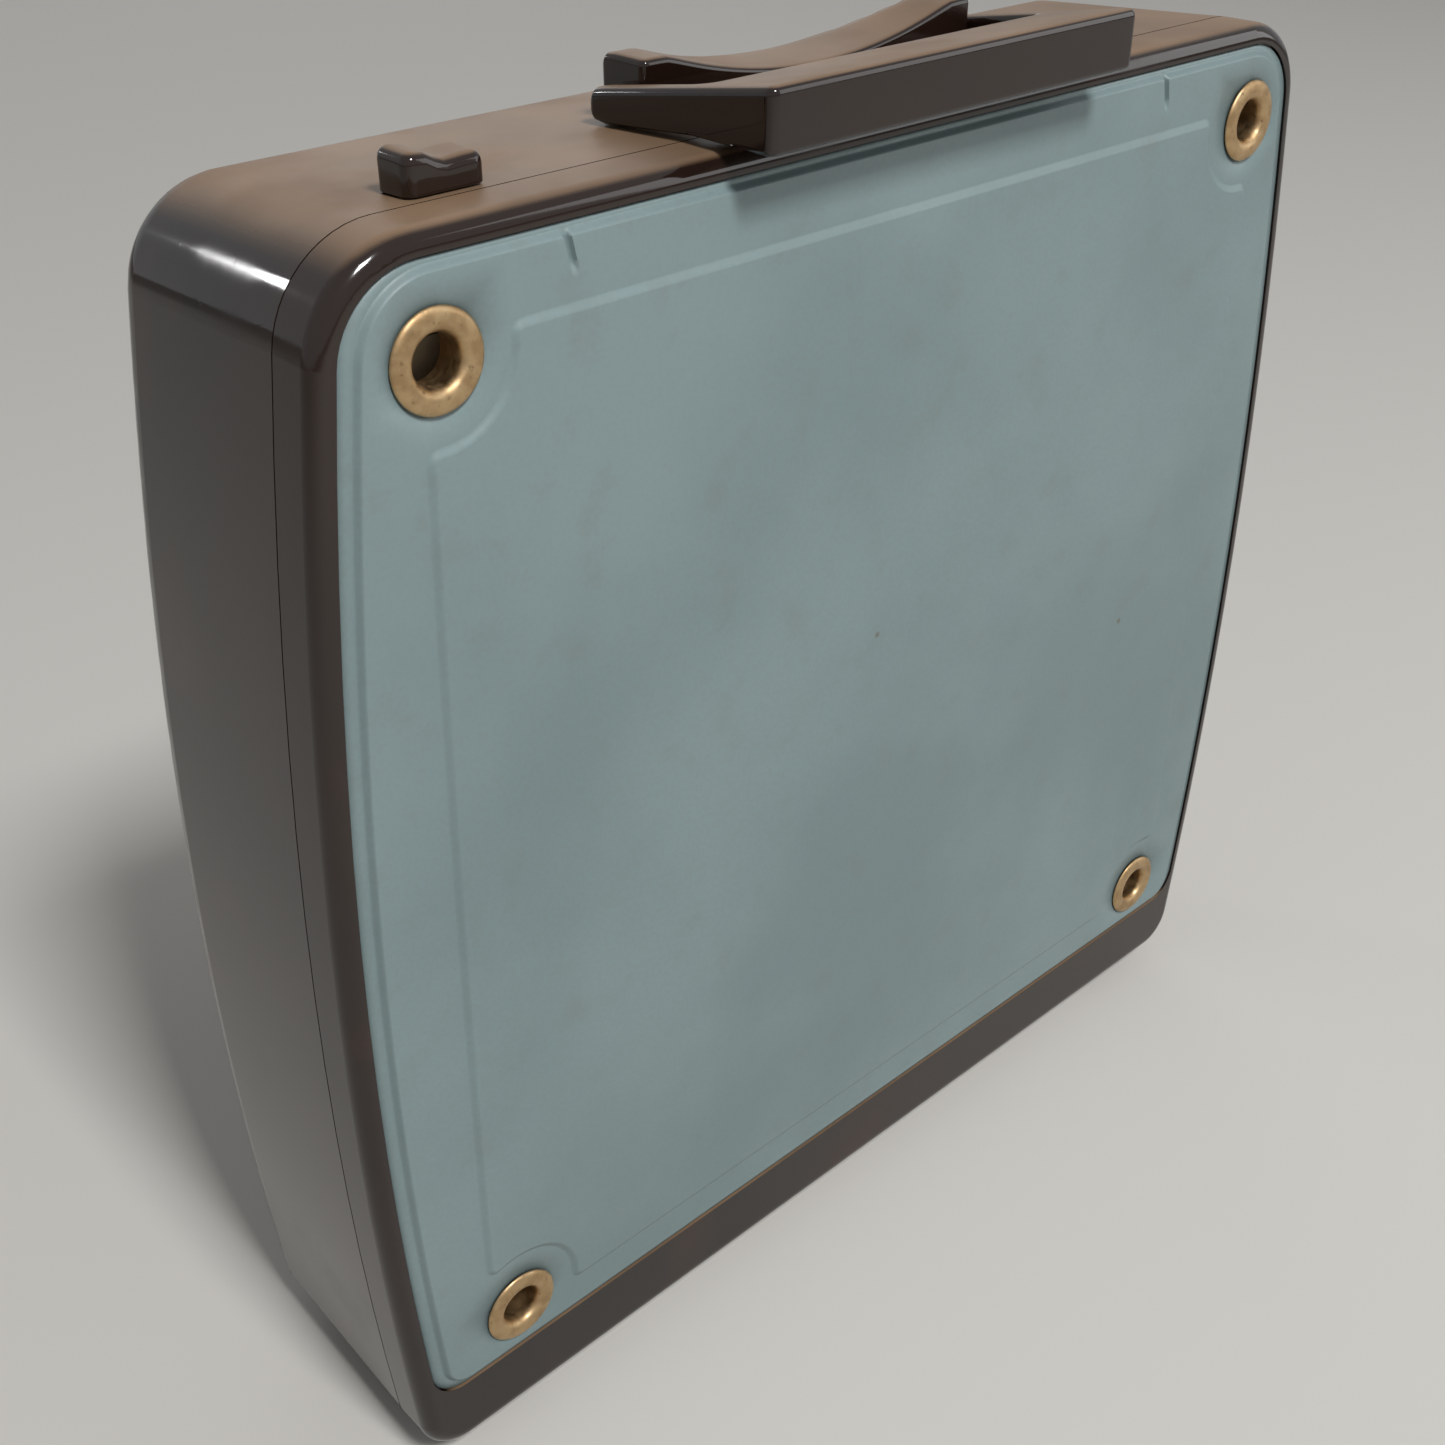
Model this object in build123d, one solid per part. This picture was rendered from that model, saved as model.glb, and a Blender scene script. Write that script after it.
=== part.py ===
from build123d import *
import math
import os

# Rigid school lunch box: a drafted rear shell, a shallow lid that carries a pressed steel
# front panel on four hollow eyelets, a fold-flat carry handle on a saddle bracket, and a
# thumb slider that shoots two bolts into keepers on the lid.
#
# Frame, in millimetres: +Z up, the lid and its panel face -Y, +X to the right seen from the
# front. The origin is on the floor, in the middle of the overall width and depth.

# --- Case ---------------------------------------------------------------------------------
CASE_HEIGHT = 235.0
WIDEST_HALF = 123.8          # half the width at the widest height
WIDEST_RISE = 97.0           # that height above the case bottom
SIDE_RADIUS = 900.0          # radius of the bowed sides
TOP_CORNER_R = 17.5
BOTTOM_CORNER_R = 9.5
CASE_DEPTH = 50.0            # rear shell, parting line to back
LID_DEPTH = 10.0
WALL = 2.5
SIDE_DRAFT = 2.1             # how much each side comes in from the parting line to the back
TOP_DRAFT = 2.9
BACK_EDGE_R = 8.0
RIM_EDGE_R = 3.0             # rounded front edge of the lid
PARTING_GAP = 0.3

# --- Lid and front panel ------------------------------------------------------------------
LID_WALL = 2.0
SHEET = 0.6                  # panel sheet thickness
FLANGE_SINK = 0.4            # flange face below the lid rim
BORDER_RISE = 1.2            # border face above the flange
FIELD_RISE = 0.7             # centre field above the border
STEP_WIDTH = 1.2
FIELD_SLOPE = 1.6
FLANGE_INSET = 3.9           # flange edge in from the lid outline, at the sides and top
BORDER_INSET = 7.2
BORDER_TOP_INSET = 5.8
BOTTOM_RAIL = 16.2           # lid showing below the flange
FLANGE_BOTTOM_WIDTH = 2.2
FLANGE_TOP_R = 13.8
FLANGE_BOTTOM_R = 7.0
PANEL_CLEARANCE = 0.3
EYELET_INSET = 26.8          # eyelet centre in from the widest half-width
EYELET_TOP_DROP = 17.7       # eyelet centre below the lid top
EYELET_BOTTOM_RISE = 28.7    # eyelet centre above the case bottom
EYELET_HEAD_R = 7.76
EYELET_BARREL_R = 5.0
EYELET_BORE_R = 4.3
EYELET_HEAD = 1.2
EYELET_ROLL = 0.8
EYELET_FIT = 0.1
WASHER_R = 7.4
WASHER_THICK = 0.8
WASHER_RELIEF = 0.5          # room around each washer in the lid liner
PAD_R = 8.6
FIELD_TOP_INSET = 24.2       # field corners in from the widest half-width
FIELD_BOTTOM_INSET = 19.8
FIELD_MID_BOW = 1.0
FIELD_TOP_DROP = 15.0        # below the lid top
FIELD_BOTTOM_RISE = 25.2     # above the case bottom
NOTCH_R = 12.4               # field edge around each eyelet
NICK_INSETS = (50.3, 56.1)   # drawing reliefs in the top border, in from left and right
NICK_WIDTH = 0.9
NICK_LENGTH = 4.0

# --- Liners and seal ----------------------------------------------------------------------
LINER_GAP = 1.2
LINER = 1.6
LATCH_BAY = 18.0             # lid top down to the liner top
LID_LINER_PLATE = 1.5
LID_LINER_SKIRT = 2.0
LID_LINER_PROUD = 0.1        # lid liner past the parting line
SEAL_DEPTH = 2.6
SEAL_GAP = 0.3
LINER_BACK_R = 5.0

# --- Carry handle -------------------------------------------------------------------------
GRIP_OVERHANG = 10.0         # grip in front of the lid rim
GRIP_HALF = 43.2
GRIP_DEPTH = 18.0
GRIP_CLEARANCE = 1.2         # grip above the lid top
GRIP_TOP_RISE = 11.6         # grip top edge above the lid top
GRIP_EDGE_R = 1.4
ARM = 4.1                    # arm thickness along X
ARM_CLEARANCE = 0.3
ARM_END_R = 2.8
PIVOT_BACK = 19.0            # pivot behind the parting line
PIVOT_RISE = 3.2             # pivot above the top face
HANDLE_PIN_R = 1.25
HANDLE_PIN_FIT = 0.05
HANDLE_PIN_INNER = 27.0      # inner end of each pin, from the middle
PIN_END_COVER = 1.1          # arm left over each pin end
SADDLE_FRONT = 13.0          # saddle front behind the parting line
SADDLE_DEPTH = 22.0
HORN_RISE = 9.5              # horn above the lid top
HORN_FLAT = 4.8
SADDLE_DIP = 5.9             # middle of the saddle below the horns
SADDLE_FLAT_DEPTH = 11.0
SADDLE_BACK_RISE = 2.2
SADDLE_EDGE_R = 1.0
BRACKET_SCREW_X = 16.0
BRACKET_SCREW_BACK = 13.0    # behind the saddle front
BRACKET_SCREW_R = 2.0
BRACKET_SCREW_HEAD_R = 3.5
BRACKET_SCREW_HEAD = 2.2
BRACKET_SCREW_BITE = 4.5
PLATE_HALF = 34.0
PLATE_GAP = 0.5              # backing plate behind the latch cover
PLATE_MIN = 1.5
SCREW_FIT = 0.15

# --- Slide lock ---------------------------------------------------------------------------
SLIDER_INSET = 36.5          # slider middle in from the left
SLIDER_LENGTH = 19.4
SLIDER_DEPTH = 18.5
SLIDER_FRONT = 1.5           # slider front behind the parting line
SLIDER_LIFT = 0.25           # slider above the top face
SLIDER_LEFT_RISE = 7.4
SLIDER_RIGHT_RISE = 6.4
SLIDER_DIP_RISE = 4.6
SLIDER_HORN = 3.2
SLIDER_EDGE_R = 0.8
LOCK_TRAVEL = 6.0
STEM_LENGTH = 6.0
STEM_WIDTH = 4.0
STEM_CLEARANCE = 0.2
BAR_BACK = 7.0               # bar centre line behind the parting line
BAR_WIDTH = 8.0
BAR_THICK = 1.5
BAR_DROP = 3.7               # bar top below the lid top
BAR_END_MARGIN = 6.7
BAR_CLEARANCE = 0.4
COVER_THICK = 1.8
COVER_DEPTH = 18.0
COVER_FRONT = 1.0
COVER_END_MARGIN = 4.0
BOSS_PITCH = 50.0
BOSS_R = 3.0
BOSS_BACK = 14.6
COVER_SCREW_R = 1.5
COVER_SCREW_HEAD_R = 2.7
COVER_SCREW_HEAD = 1.6
COVER_SCREW_BITE = 3.4
SLIDER_SCREW_R = 1.25
SLIDER_SCREW_HEAD_R = 2.2
SLIDER_SCREW_HEAD = 1.2
SLIDER_SCREW_BITE = 3.5
KEEPER_INSET = 61.8          # keepers in from the left and right
KEEPER_THICK = 1.5
KEEPER_REACH = 12.5          # keeper past the parting line
KEEPER_HEIGHT = 7.6
KEEPER_EDGE = 1.7            # material around the keeper window
KEEPER_BELOW_COVER = 1.0
KEEPER_FLANGE = 12.0
KEEPER_RIVET_X = (4.4, 9.4)
BOLT_TIP_GAP = 1.0
BOLT_LENGTH = 5.0
BOLT_HEIGHT = 3.0
BOLT_WIDTH = 4.0
HANGER = 3.0
SLOT_CLEARANCE = 0.5
SMALL_RIVET_R = 1.2
SMALL_RIVET_HEAD_R = 2.0
SMALL_RIVET_HEAD = 0.8

# --- Hinge and feet -----------------------------------------------------------------------
HINGE_INSET = 33.8           # hinge ends in from the widest half-width
HINGE_KNUCKLES = 5
KNUCKLE_GAP = 0.4
KNUCKLE_R = 2.0
HINGE_PIN_R = 1.2
HINGE_PIN_FIT = 0.05
KNUCKLE_CLEARANCE = 0.3      # knuckles below the case bottom
HINGE_GROUND = 0.7           # knuckles above the floor
LEAF = 0.8
LEAF_RELIEF = 0.3
CASE_LEAF_WIDTH = 7.5
LID_LEAF_WIDTH = 4.6
LEAF_RIVETS = 4              # rivets through each leaf
HINGE_RIVET_R = 1.4
HINGE_RIVET_HEAD_R = 2.1
HINGE_RIVET_HEAD = 0.9
RIVET_FIT = 0.1
FOOT_R = 6.0
FOOT_INSET = 22.8            # feet in from the widest half-width
FOOT_FRONT = 6.5             # front feet behind the parting line
FOOT_BACK = 15.0             # rear feet in front of the back
FOOT_STEM_R = 2.5
FOOT_HEAD_R = 3.6
FOOT_HEAD = 0.9

# --- Places that follow from those --------------------------------------------------------
GRIP_FRONT_Y = -(GRIP_OVERHANG + LID_DEPTH + CASE_DEPTH) / 2
RIM_Y = GRIP_FRONT_Y + GRIP_OVERHANG
PARTING_Y = RIM_Y + LID_DEPTH
BACK_Y = PARTING_Y + CASE_DEPTH
CASE_FRONT_Y = PARTING_Y + PARTING_GAP / 2
LID_BACK_Y = PARTING_Y - PARTING_GAP / 2
HINGE_Z = HINGE_GROUND + KNUCKLE_R
BOTTOM_Z = HINGE_Z + KNUCKLE_R + KNUCKLE_CLEARANCE
TOP_Z = BOTTOM_Z + CASE_HEIGHT
WIDEST_Z = BOTTOM_Z + WIDEST_RISE
FLANGE_Y = RIM_Y + FLANGE_SINK
POCKET_Y = FLANGE_Y + SHEET
BORDER_Y = FLANGE_Y - BORDER_RISE
LID_INNER_Y = POCKET_Y + LID_WALL
EYELETS = [(side * (WIDEST_HALF - EYELET_INSET), z) for side in (-1, 1)
           for z in (TOP_Z - EYELET_TOP_DROP, BOTTOM_Z + EYELET_BOTTOM_RISE)]
NICKS = (NICK_INSETS[0] - WIDEST_HALF, WIDEST_HALF - NICK_INSETS[1])
LINER_INSET = WALL + LINER_GAP
LINER_TOP_Z = TOP_Z - LATCH_BAY
SEAL_FRONT_Y = PARTING_Y + LID_LINER_PROUD + SEAL_GAP
LINER_FRONT_Y = SEAL_FRONT_Y + SEAL_DEPTH
SLIDER_X = SLIDER_INSET - WIDEST_HALF
KEEPER_X = (KEEPER_INSET - WIDEST_HALF, WIDEST_HALF - KEEPER_INSET)
BOSS_X = (-BOSS_PITCH, 0.0, BOSS_PITCH)
BAR_Y = PARTING_Y + BAR_BACK
BAR_TOP_Z = TOP_Z - BAR_DROP
BAR_BOTTOM_Z = BAR_TOP_Z - BAR_THICK
COVER_TOP_Z = BAR_BOTTOM_Z - BAR_CLEARANCE
COVER_BOTTOM_Z = COVER_TOP_Z - COVER_THICK
KEEPER_TOP_Z = COVER_BOTTOM_Z - KEEPER_BELOW_COVER
BOLT_Z = KEEPER_TOP_Z - KEEPER_HEIGHT / 2
PIVOT_Y = PARTING_Y + PIVOT_BACK
SADDLE_Y = PARTING_Y + SADDLE_FRONT
SADDLE_HALF = GRIP_HALF - ARM - ARM_CLEARANCE
HINGE_HALF = WIDEST_HALF - HINGE_INSET
LEAF_RIVET_X = [HINGE_HALF * ((2 * i + 1) / LEAF_RIVETS - 1) for i in range(LEAF_RIVETS)]
FEET = [(side * (WIDEST_HALF - FOOT_INSET), y) for side in (-1, 1)
        for y in (PARTING_Y + FOOT_FRONT, BACK_Y - FOOT_BACK)]


def top_face_z(y):
    """Height of the case's outer top face, which falls towards the back."""
    return TOP_Z - TOP_DRAFT * max(0.0, y - PARTING_Y) / CASE_DEPTH


PIVOT_Z = top_face_z(PIVOT_Y) + PIVOT_RISE


# --- Small builders -----------------------------------------------------------------------
def block(x0, x1, y0, y1, z0, z1):
    """Box between two corners."""
    size = (abs(x1 - x0), abs(y1 - y0), abs(z1 - z0))
    return Pos((x0 + x1) / 2, (y0 + y1) / 2, (z0 + z1) / 2) * Box(*size)


def rod_z(x, y, radius, z0, z1):
    """Upright cylinder."""
    return Pos(x, y, (z0 + z1) / 2) * Cylinder(radius, abs(z1 - z0))


def rod_y(x, z, radius, y0, y1):
    """Cylinder along Y."""
    return Pos(x, (y0 + y1) / 2, z) * Rot(90, 0, 0) * Cylinder(radius, abs(y1 - y0))


def rod_x(y, z, radius, x0, x1):
    """Cylinder along X."""
    return Pos((x0 + x1) / 2, y, z) * Rot(0, 90, 0) * Cylinder(radius, abs(x1 - x0))


def front_plane(y):
    """Sketch plane at depth y: its x is X, its y is Z, its normal faces the front."""
    return Plane(origin=(0, y, 0), x_dir=(1, 0, 0), z_dir=(0, -1, 0))


def bowed_side(z, inset):
    """Half-width of the bowed outline at height z."""
    radius = SIDE_RADIUS - inset
    return WIDEST_HALF - SIDE_RADIUS + math.sqrt(radius ** 2 - (z - WIDEST_Z) ** 2)


def outline(y, inset, bottom, top, top_r, bottom_r):
    """Face at depth y with bowed sides, flat top and bottom, and rounded corners."""
    middle = (bottom + top) / 2
    low, mid, high = (bowed_side(z, inset) for z in (bottom, middle, top))
    edges = [Line((-low, bottom), (low, bottom)),
             ThreePointArc((low, bottom), (mid, middle), (high, top)),
             Line((high, top), (-high, top)),
             ThreePointArc((-high, top), (-mid, middle), (-low, bottom))]
    face = make_face(edges)
    face = fillet(face.vertices().group_by(Axis.Y)[-1], top_r)
    face = fillet(face.vertices().group_by(Axis.Y)[0], bottom_r)
    return front_plane(y) * face


def case_section(y, inset, top=None):
    """Case outline at depth y, moved in by inset and by the draft at that depth."""
    drafted = (y - PARTING_Y) / CASE_DEPTH
    own_top = TOP_Z - inset - TOP_DRAFT * drafted
    return outline(y, inset + SIDE_DRAFT * drafted, BOTTOM_Z + inset,
                   own_top if top is None else top,
                   max(TOP_CORNER_R - inset, 1.0), max(BOTTOM_CORNER_R - inset, 1.0))


def between(section_a, section_b):
    """Solid with straight sides from one face to the other."""
    return loft([section_a, section_b], ruled=True)


def tub(front_y, back_y, inset, back_r, top=None):
    """Drafted solid between two depths, rounded around its back edge."""
    solid = between(case_section(front_y, inset, top), case_section(back_y, inset, top))
    return fillet(solid.edges().group_by(Axis.Y)[-1], back_r)


def side_prism(points, x0, x1):
    """Solid with an outline of (y, z) points, from x0 to x1."""
    face = make_face(Polyline(*points, close=True))
    return extrude(Plane(origin=(x0, 0, 0), x_dir=(0, 1, 0), z_dir=(1, 0, 0)) * face, x1 - x0)


def rivet_z(x, y, radius, head_r, head, z0, z1):
    """Upright rivet whose heads stand outside z0 and z1."""
    shank = rod_z(x, y, radius, z0, z1)
    return shank + rod_z(x, y, head_r, z0 - head, z0) + rod_z(x, y, head_r, z1, z1 + head)


def screw_up(x, y, radius, head_r, head, z0, z1):
    """Screw driven upwards, with its head below z0."""
    screw = rod_z(x, y, radius, z0, z1) + rod_z(x, y, head_r, z0 - head, z0)
    socket = Pos(x, y, z0 - head + head / 4) * extrude(RegularPolygon(radius, 6), head / 2,
                                                         both=True)
    return screw - socket


# --- Rear shell, liner and seal -----------------------------------------------------------
def make_rear_shell():
    shell = tub(CASE_FRONT_Y, BACK_Y, 0.0, BACK_EDGE_R)
    shell -= tub(CASE_FRONT_Y - 1, BACK_Y - WALL, WALL, BACK_EDGE_R - WALL)
    for x in BOSS_X:
        roof_z = top_face_z(PARTING_Y + BOSS_BACK) - WALL / 2
        shell += rod_z(x, PARTING_Y + BOSS_BACK, BOSS_R, COVER_TOP_Z, roof_z)
    for x in BOSS_X:
        tip_z = COVER_TOP_Z + COVER_SCREW_BITE
        shell -= rod_z(x, PARTING_Y + BOSS_BACK, COVER_SCREW_R + SCREW_FIT, COVER_TOP_Z - 1, tip_z)
    reach, half = STEM_LENGTH / 2 + STEM_CLEARANCE, STEM_WIDTH / 2 + STEM_CLEARANCE
    shell -= block(SLIDER_X - reach, SLIDER_X + reach + LOCK_TRAVEL, BAR_Y - half, BAR_Y + half,
                   BAR_TOP_Z, TOP_Z + 1)
    for x in (-BRACKET_SCREW_X, BRACKET_SCREW_X):
        shell -= rod_z(x, SADDLE_Y + BRACKET_SCREW_BACK, BRACKET_SCREW_R + SCREW_FIT,
                       TOP_Z - LATCH_BAY, TOP_Z + 1)
    for x in LEAF_RIVET_X:
        shell -= rod_z(x, case_rivet_y(), HINGE_RIVET_R + RIVET_FIT, BOTTOM_Z - 1, BOTTOM_Z + WALL + 1)
    for x, y in FEET:
        shell -= rod_z(x, y, FOOT_STEM_R + RIVET_FIT, BOTTOM_Z - 1, BOTTOM_Z + WALL + 1)
    return shell


def make_case_liner():
    inner_inset = LINER_INSET + LINER
    liner = tub(LINER_FRONT_Y, BACK_Y - LINER_INSET, LINER_INSET, LINER_BACK_R, LINER_TOP_Z)
    return liner - tub(LINER_FRONT_Y - 1, BACK_Y - inner_inset, inner_inset,
                       LINER_BACK_R - LINER, LINER_TOP_Z - LINER)


def make_rim_seal():
    inner_inset = LINER_INSET + LINER
    seal = between(case_section(SEAL_FRONT_Y, LINER_INSET, LINER_TOP_Z),
                   case_section(LINER_FRONT_Y, LINER_INSET, LINER_TOP_Z))
    return seal - between(case_section(SEAL_FRONT_Y - 1, inner_inset, LINER_TOP_Z - LINER),
                          case_section(LINER_FRONT_Y + 1, inner_inset, LINER_TOP_Z - LINER))


# --- Lid, panel and eyelets ---------------------------------------------------------------
def lid_section(y, inset, top_inset, bottom_inset, top_r, bottom_r):
    """Lid outline moved in by its own amount at the sides, the top and the bottom."""
    return outline(y, inset, BOTTOM_Z + bottom_inset, TOP_Z - top_inset, top_r, bottom_r)


def flange_outline(y, grow):
    """Outline of the panel's flange, or of the pocket that it lies in."""
    return lid_section(y, FLANGE_INSET - grow, FLANGE_INSET - grow, BOTTOM_RAIL - grow,
                       FLANGE_TOP_R + grow, FLANGE_BOTTOM_R + grow)


def border_outline(y, grow):
    """Outline of the raised border, at its face or grown to the foot of its step."""
    corner_top = FLANGE_TOP_R - (BORDER_TOP_INSET - FLANGE_INSET)
    corner_bottom = FLANGE_BOTTOM_R - FLANGE_BOTTOM_WIDTH
    return lid_section(y, BORDER_INSET - grow, BORDER_TOP_INSET - grow,
                       BOTTOM_RAIL + FLANGE_BOTTOM_WIDTH - grow, corner_top + grow, corner_bottom + grow)


def field_outline(y, grow):
    """Outline of the centre field, notched round each eyelet."""
    low, high = BOTTOM_Z + FIELD_BOTTOM_RISE - grow, TOP_Z - FIELD_TOP_DROP + grow
    middle = (low + high) / 2
    half_low = WIDEST_HALF - FIELD_BOTTOM_INSET + grow
    half_high = WIDEST_HALF - FIELD_TOP_INSET + grow
    half_mid = (half_low + half_high) / 2 + FIELD_MID_BOW
    face = make_face([Line((-half_low, low), (half_low, low)),
                      ThreePointArc((half_low, low), (half_mid, middle), (half_high, high)),
                      Line((half_high, high), (-half_high, high)),
                      ThreePointArc((-half_high, high), (-half_mid, middle), (-half_low, low))])
    for x, z in EYELETS:
        face -= Pos(x, z) * Circle(NOTCH_R - grow)
    return front_plane(y) * face


def panel_form(shift):
    """Everything behind the panel's front surface, moved back by shift."""
    border = between(border_outline(FLANGE_Y + shift, STEP_WIDTH), border_outline(BORDER_Y + shift, 0.0))
    field = between(field_outline(BORDER_Y + shift, 0.0),
                    field_outline(BORDER_Y - FIELD_RISE + shift, -FIELD_SLOPE))
    return border + field


def make_front_panel():
    flange = extrude(flange_outline(FLANGE_Y, 0.0), -SHEET)
    panel = flange + panel_form(0.0) - panel_form(SHEET)
    top = TOP_Z - BORDER_TOP_INSET
    for x in NICKS:
        panel -= block(x - NICK_WIDTH / 2, x + NICK_WIDTH / 2, BORDER_Y - 1, BORDER_Y + SHEET / 2,
                       top - NICK_LENGTH, top + STEP_WIDTH)
    for x, z in EYELETS:
        panel -= rod_y(x, z, EYELET_BARREL_R + EYELET_FIT, BORDER_Y - 2, LID_INNER_Y)
    return panel


def make_lid_shell():
    corners = (TOP_CORNER_R, BOTTOM_CORNER_R)
    inner_corners = (TOP_CORNER_R - WALL, BOTTOM_CORNER_R - WALL)
    shell = extrude(lid_section(LID_BACK_Y, 0, 0, 0, *corners), LID_BACK_Y - RIM_Y)
    shell = fillet(shell.edges().group_by(Axis.Y)[0], RIM_EDGE_R)
    shell -= extrude(lid_section(PARTING_Y, WALL, WALL, WALL, *inner_corners), PARTING_Y - LID_INNER_Y)
    shell -= extrude(flange_outline(POCKET_Y, PANEL_CLEARANCE), POCKET_Y - RIM_Y + 1)
    for x, z in EYELETS:
        shell += rod_y(x, z, PAD_R, BORDER_Y + SHEET, POCKET_Y + LID_WALL / 2)
    for x, z in EYELETS:
        shell -= rod_y(x, z, EYELET_BARREL_R + EYELET_FIT, RIM_Y - 2, PARTING_Y)
    for x, z in keeper_rivet_places():
        shell -= rod_y(x, z, SMALL_RIVET_R + RIVET_FIT, POCKET_Y - 1, LID_INNER_Y + 1)
    for x in LEAF_RIVET_X:
        shell -= rod_z(x, lid_rivet_y(), HINGE_RIVET_R + RIVET_FIT, BOTTOM_Z - 1, BOTTOM_Z + WALL + 1)
    return shell


def make_lid_liner():
    back_y = PARTING_Y + LID_LINER_PROUD
    corners = (TOP_CORNER_R - LINER_INSET, BOTTOM_CORNER_R - LINER_INSET)
    outer = lid_section(back_y, LINER_INSET, LATCH_BAY, LINER_INSET, *corners)
    inset = LINER_INSET + LID_LINER_SKIRT
    inner = lid_section(back_y - LID_LINER_PLATE, inset, LATCH_BAY + LID_LINER_SKIRT, inset,
                        corners[0] - LID_LINER_SKIRT, corners[1] - LID_LINER_SKIRT)
    liner = extrude(outer, back_y - LID_INNER_Y)
    liner -= extrude(inner, back_y - LID_INNER_Y)
    for x, z in EYELETS:
        liner -= rod_y(x, z, WASHER_R + WASHER_RELIEF, LID_INNER_Y - 1, back_y - LID_LINER_PLATE)
    return liner


def make_panel_eyelets():
    head_y, roll_y = BORDER_Y - EYELET_HEAD, LID_INNER_Y + WASHER_THICK
    points = [(EYELET_BORE_R, head_y), (EYELET_HEAD_R, head_y), (EYELET_HEAD_R, BORDER_Y),
              (EYELET_BARREL_R, BORDER_Y), (EYELET_BARREL_R, roll_y), (WASHER_R - 1, roll_y),
              (WASHER_R - 1, roll_y + EYELET_ROLL), (EYELET_BORE_R, roll_y + EYELET_ROLL)]
    profile = make_face(Polyline(*points, close=True))
    profile = fillet(profile.vertices().group_by(Axis.Y)[0], EYELET_HEAD * 0.8)
    eyelet = revolve(profile, Axis.Y)
    return [Pos(x, 0, z) * eyelet for x, z in EYELETS]


def make_eyelet_washers():
    washers = []
    for x, z in EYELETS:
        ring = rod_y(x, z, WASHER_R, LID_INNER_Y, LID_INNER_Y + WASHER_THICK)
        washers.append(ring - rod_y(x, z, EYELET_BARREL_R + EYELET_FIT, LID_INNER_Y - 1, PARTING_Y))
    return washers


# --- Carry handle -------------------------------------------------------------------------
def make_handle_grip():
    low, high = TOP_Z + GRIP_CLEARANCE, TOP_Z + GRIP_TOP_RISE
    back_y = GRIP_FRONT_Y + GRIP_DEPTH
    profile = [(GRIP_FRONT_Y, low), (back_y, low), (PIVOT_Y, PIVOT_Z - ARM_END_R),
               (PIVOT_Y, PIVOT_Z + ARM_END_R), (GRIP_FRONT_Y, high)]
    handle = side_prism(profile, -GRIP_HALF, GRIP_HALF)
    handle += rod_x(PIVOT_Y, PIVOT_Z, ARM_END_R, -GRIP_HALF, GRIP_HALF)
    inner = GRIP_HALF - ARM
    handle -= block(-inner, inner, back_y, PIVOT_Y + 2 * ARM_END_R, low - 5, high + 5)
    front_edges = handle.edges().group_by(Axis.Y)[0]
    handle = fillet(front_edges, GRIP_EDGE_R)
    for side in (-1, 1):
        pin_end = side * (GRIP_HALF - PIN_END_COVER)
        handle -= rod_x(PIVOT_Y, PIVOT_Z, HANDLE_PIN_R + HANDLE_PIN_FIT, 0, pin_end)
    return handle


def make_handle_bracket():
    horn_z = TOP_Z + HORN_RISE
    base = [(y, top_face_z(y)) for y in (SADDLE_Y, SADDLE_Y + SADDLE_DEPTH)]
    side = base + [(SADDLE_Y + SADDLE_DEPTH, base[1][1] + SADDLE_BACK_RISE),
                   (SADDLE_Y + SADDLE_FLAT_DEPTH, horn_z), (SADDLE_Y, horn_z)]
    bracket = side_prism(side, -SADDLE_HALF, SADDLE_HALF)
    dip = SADDLE_HALF - HORN_FLAT
    scoop = make_face([Line((-dip, horn_z + 1), (-dip, horn_z)),
                       ThreePointArc((-dip, horn_z), (0, horn_z - SADDLE_DIP), (dip, horn_z)),
                       Line((dip, horn_z), (dip, horn_z + 1)),
                       Line((dip, horn_z + 1), (-dip, horn_z + 1))])
    bracket -= extrude(front_plane(SADDLE_Y + SADDLE_DEPTH + 1) * scoop, SADDLE_DEPTH + 2)
    horn_ends = bracket.edges().filter_by(Axis.Y).group_by(Axis.Z)[-1].sort_by(Axis.X)
    bracket = fillet([horn_ends[0], horn_ends[-1]], SADDLE_EDGE_R)
    for side in (-1, 1):
        bracket -= rod_x(PIVOT_Y, PIVOT_Z, HANDLE_PIN_R + HANDLE_PIN_FIT / 2,
                         side * HANDLE_PIN_INNER, side * (SADDLE_HALF + 1))
        bracket -= rod_z(side * BRACKET_SCREW_X, SADDLE_Y + BRACKET_SCREW_BACK,
                         BRACKET_SCREW_R + SCREW_FIT, TOP_Z - LATCH_BAY, bracket_screw_tip())
    return bracket


def make_handle_pins():
    end = GRIP_HALF - PIN_END_COVER - HANDLE_PIN_FIT
    return [rod_x(PIVOT_Y, PIVOT_Z, HANDLE_PIN_R, side * (HANDLE_PIN_INNER + HANDLE_PIN_FIT), side * end)
            for side in (-1, 1)]


def bracket_screw_tip():
    """Height of the tip of the bracket screws."""
    return top_face_z(SADDLE_Y + BRACKET_SCREW_BACK) + BRACKET_SCREW_BITE


def bracket_plate_ends():
    """Front and back of the backing plate, and its flat underside."""
    front = PARTING_Y + COVER_FRONT + COVER_DEPTH + PLATE_GAP
    back = SADDLE_Y + SADDLE_DEPTH
    return front, back, top_face_z(back) - WALL - PLATE_MIN


def make_bracket_plate():
    front, back, low = bracket_plate_ends()
    roof = [(y, top_face_z(y) - WALL) for y in (front, back)]
    plate = side_prism([(front, low), (back, low), roof[1], roof[0]], -PLATE_HALF, PLATE_HALF)
    for x in (-BRACKET_SCREW_X, BRACKET_SCREW_X):
        plate -= rod_z(x, SADDLE_Y + BRACKET_SCREW_BACK, BRACKET_SCREW_R + SCREW_FIT, low - 1, TOP_Z)
    return plate


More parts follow.
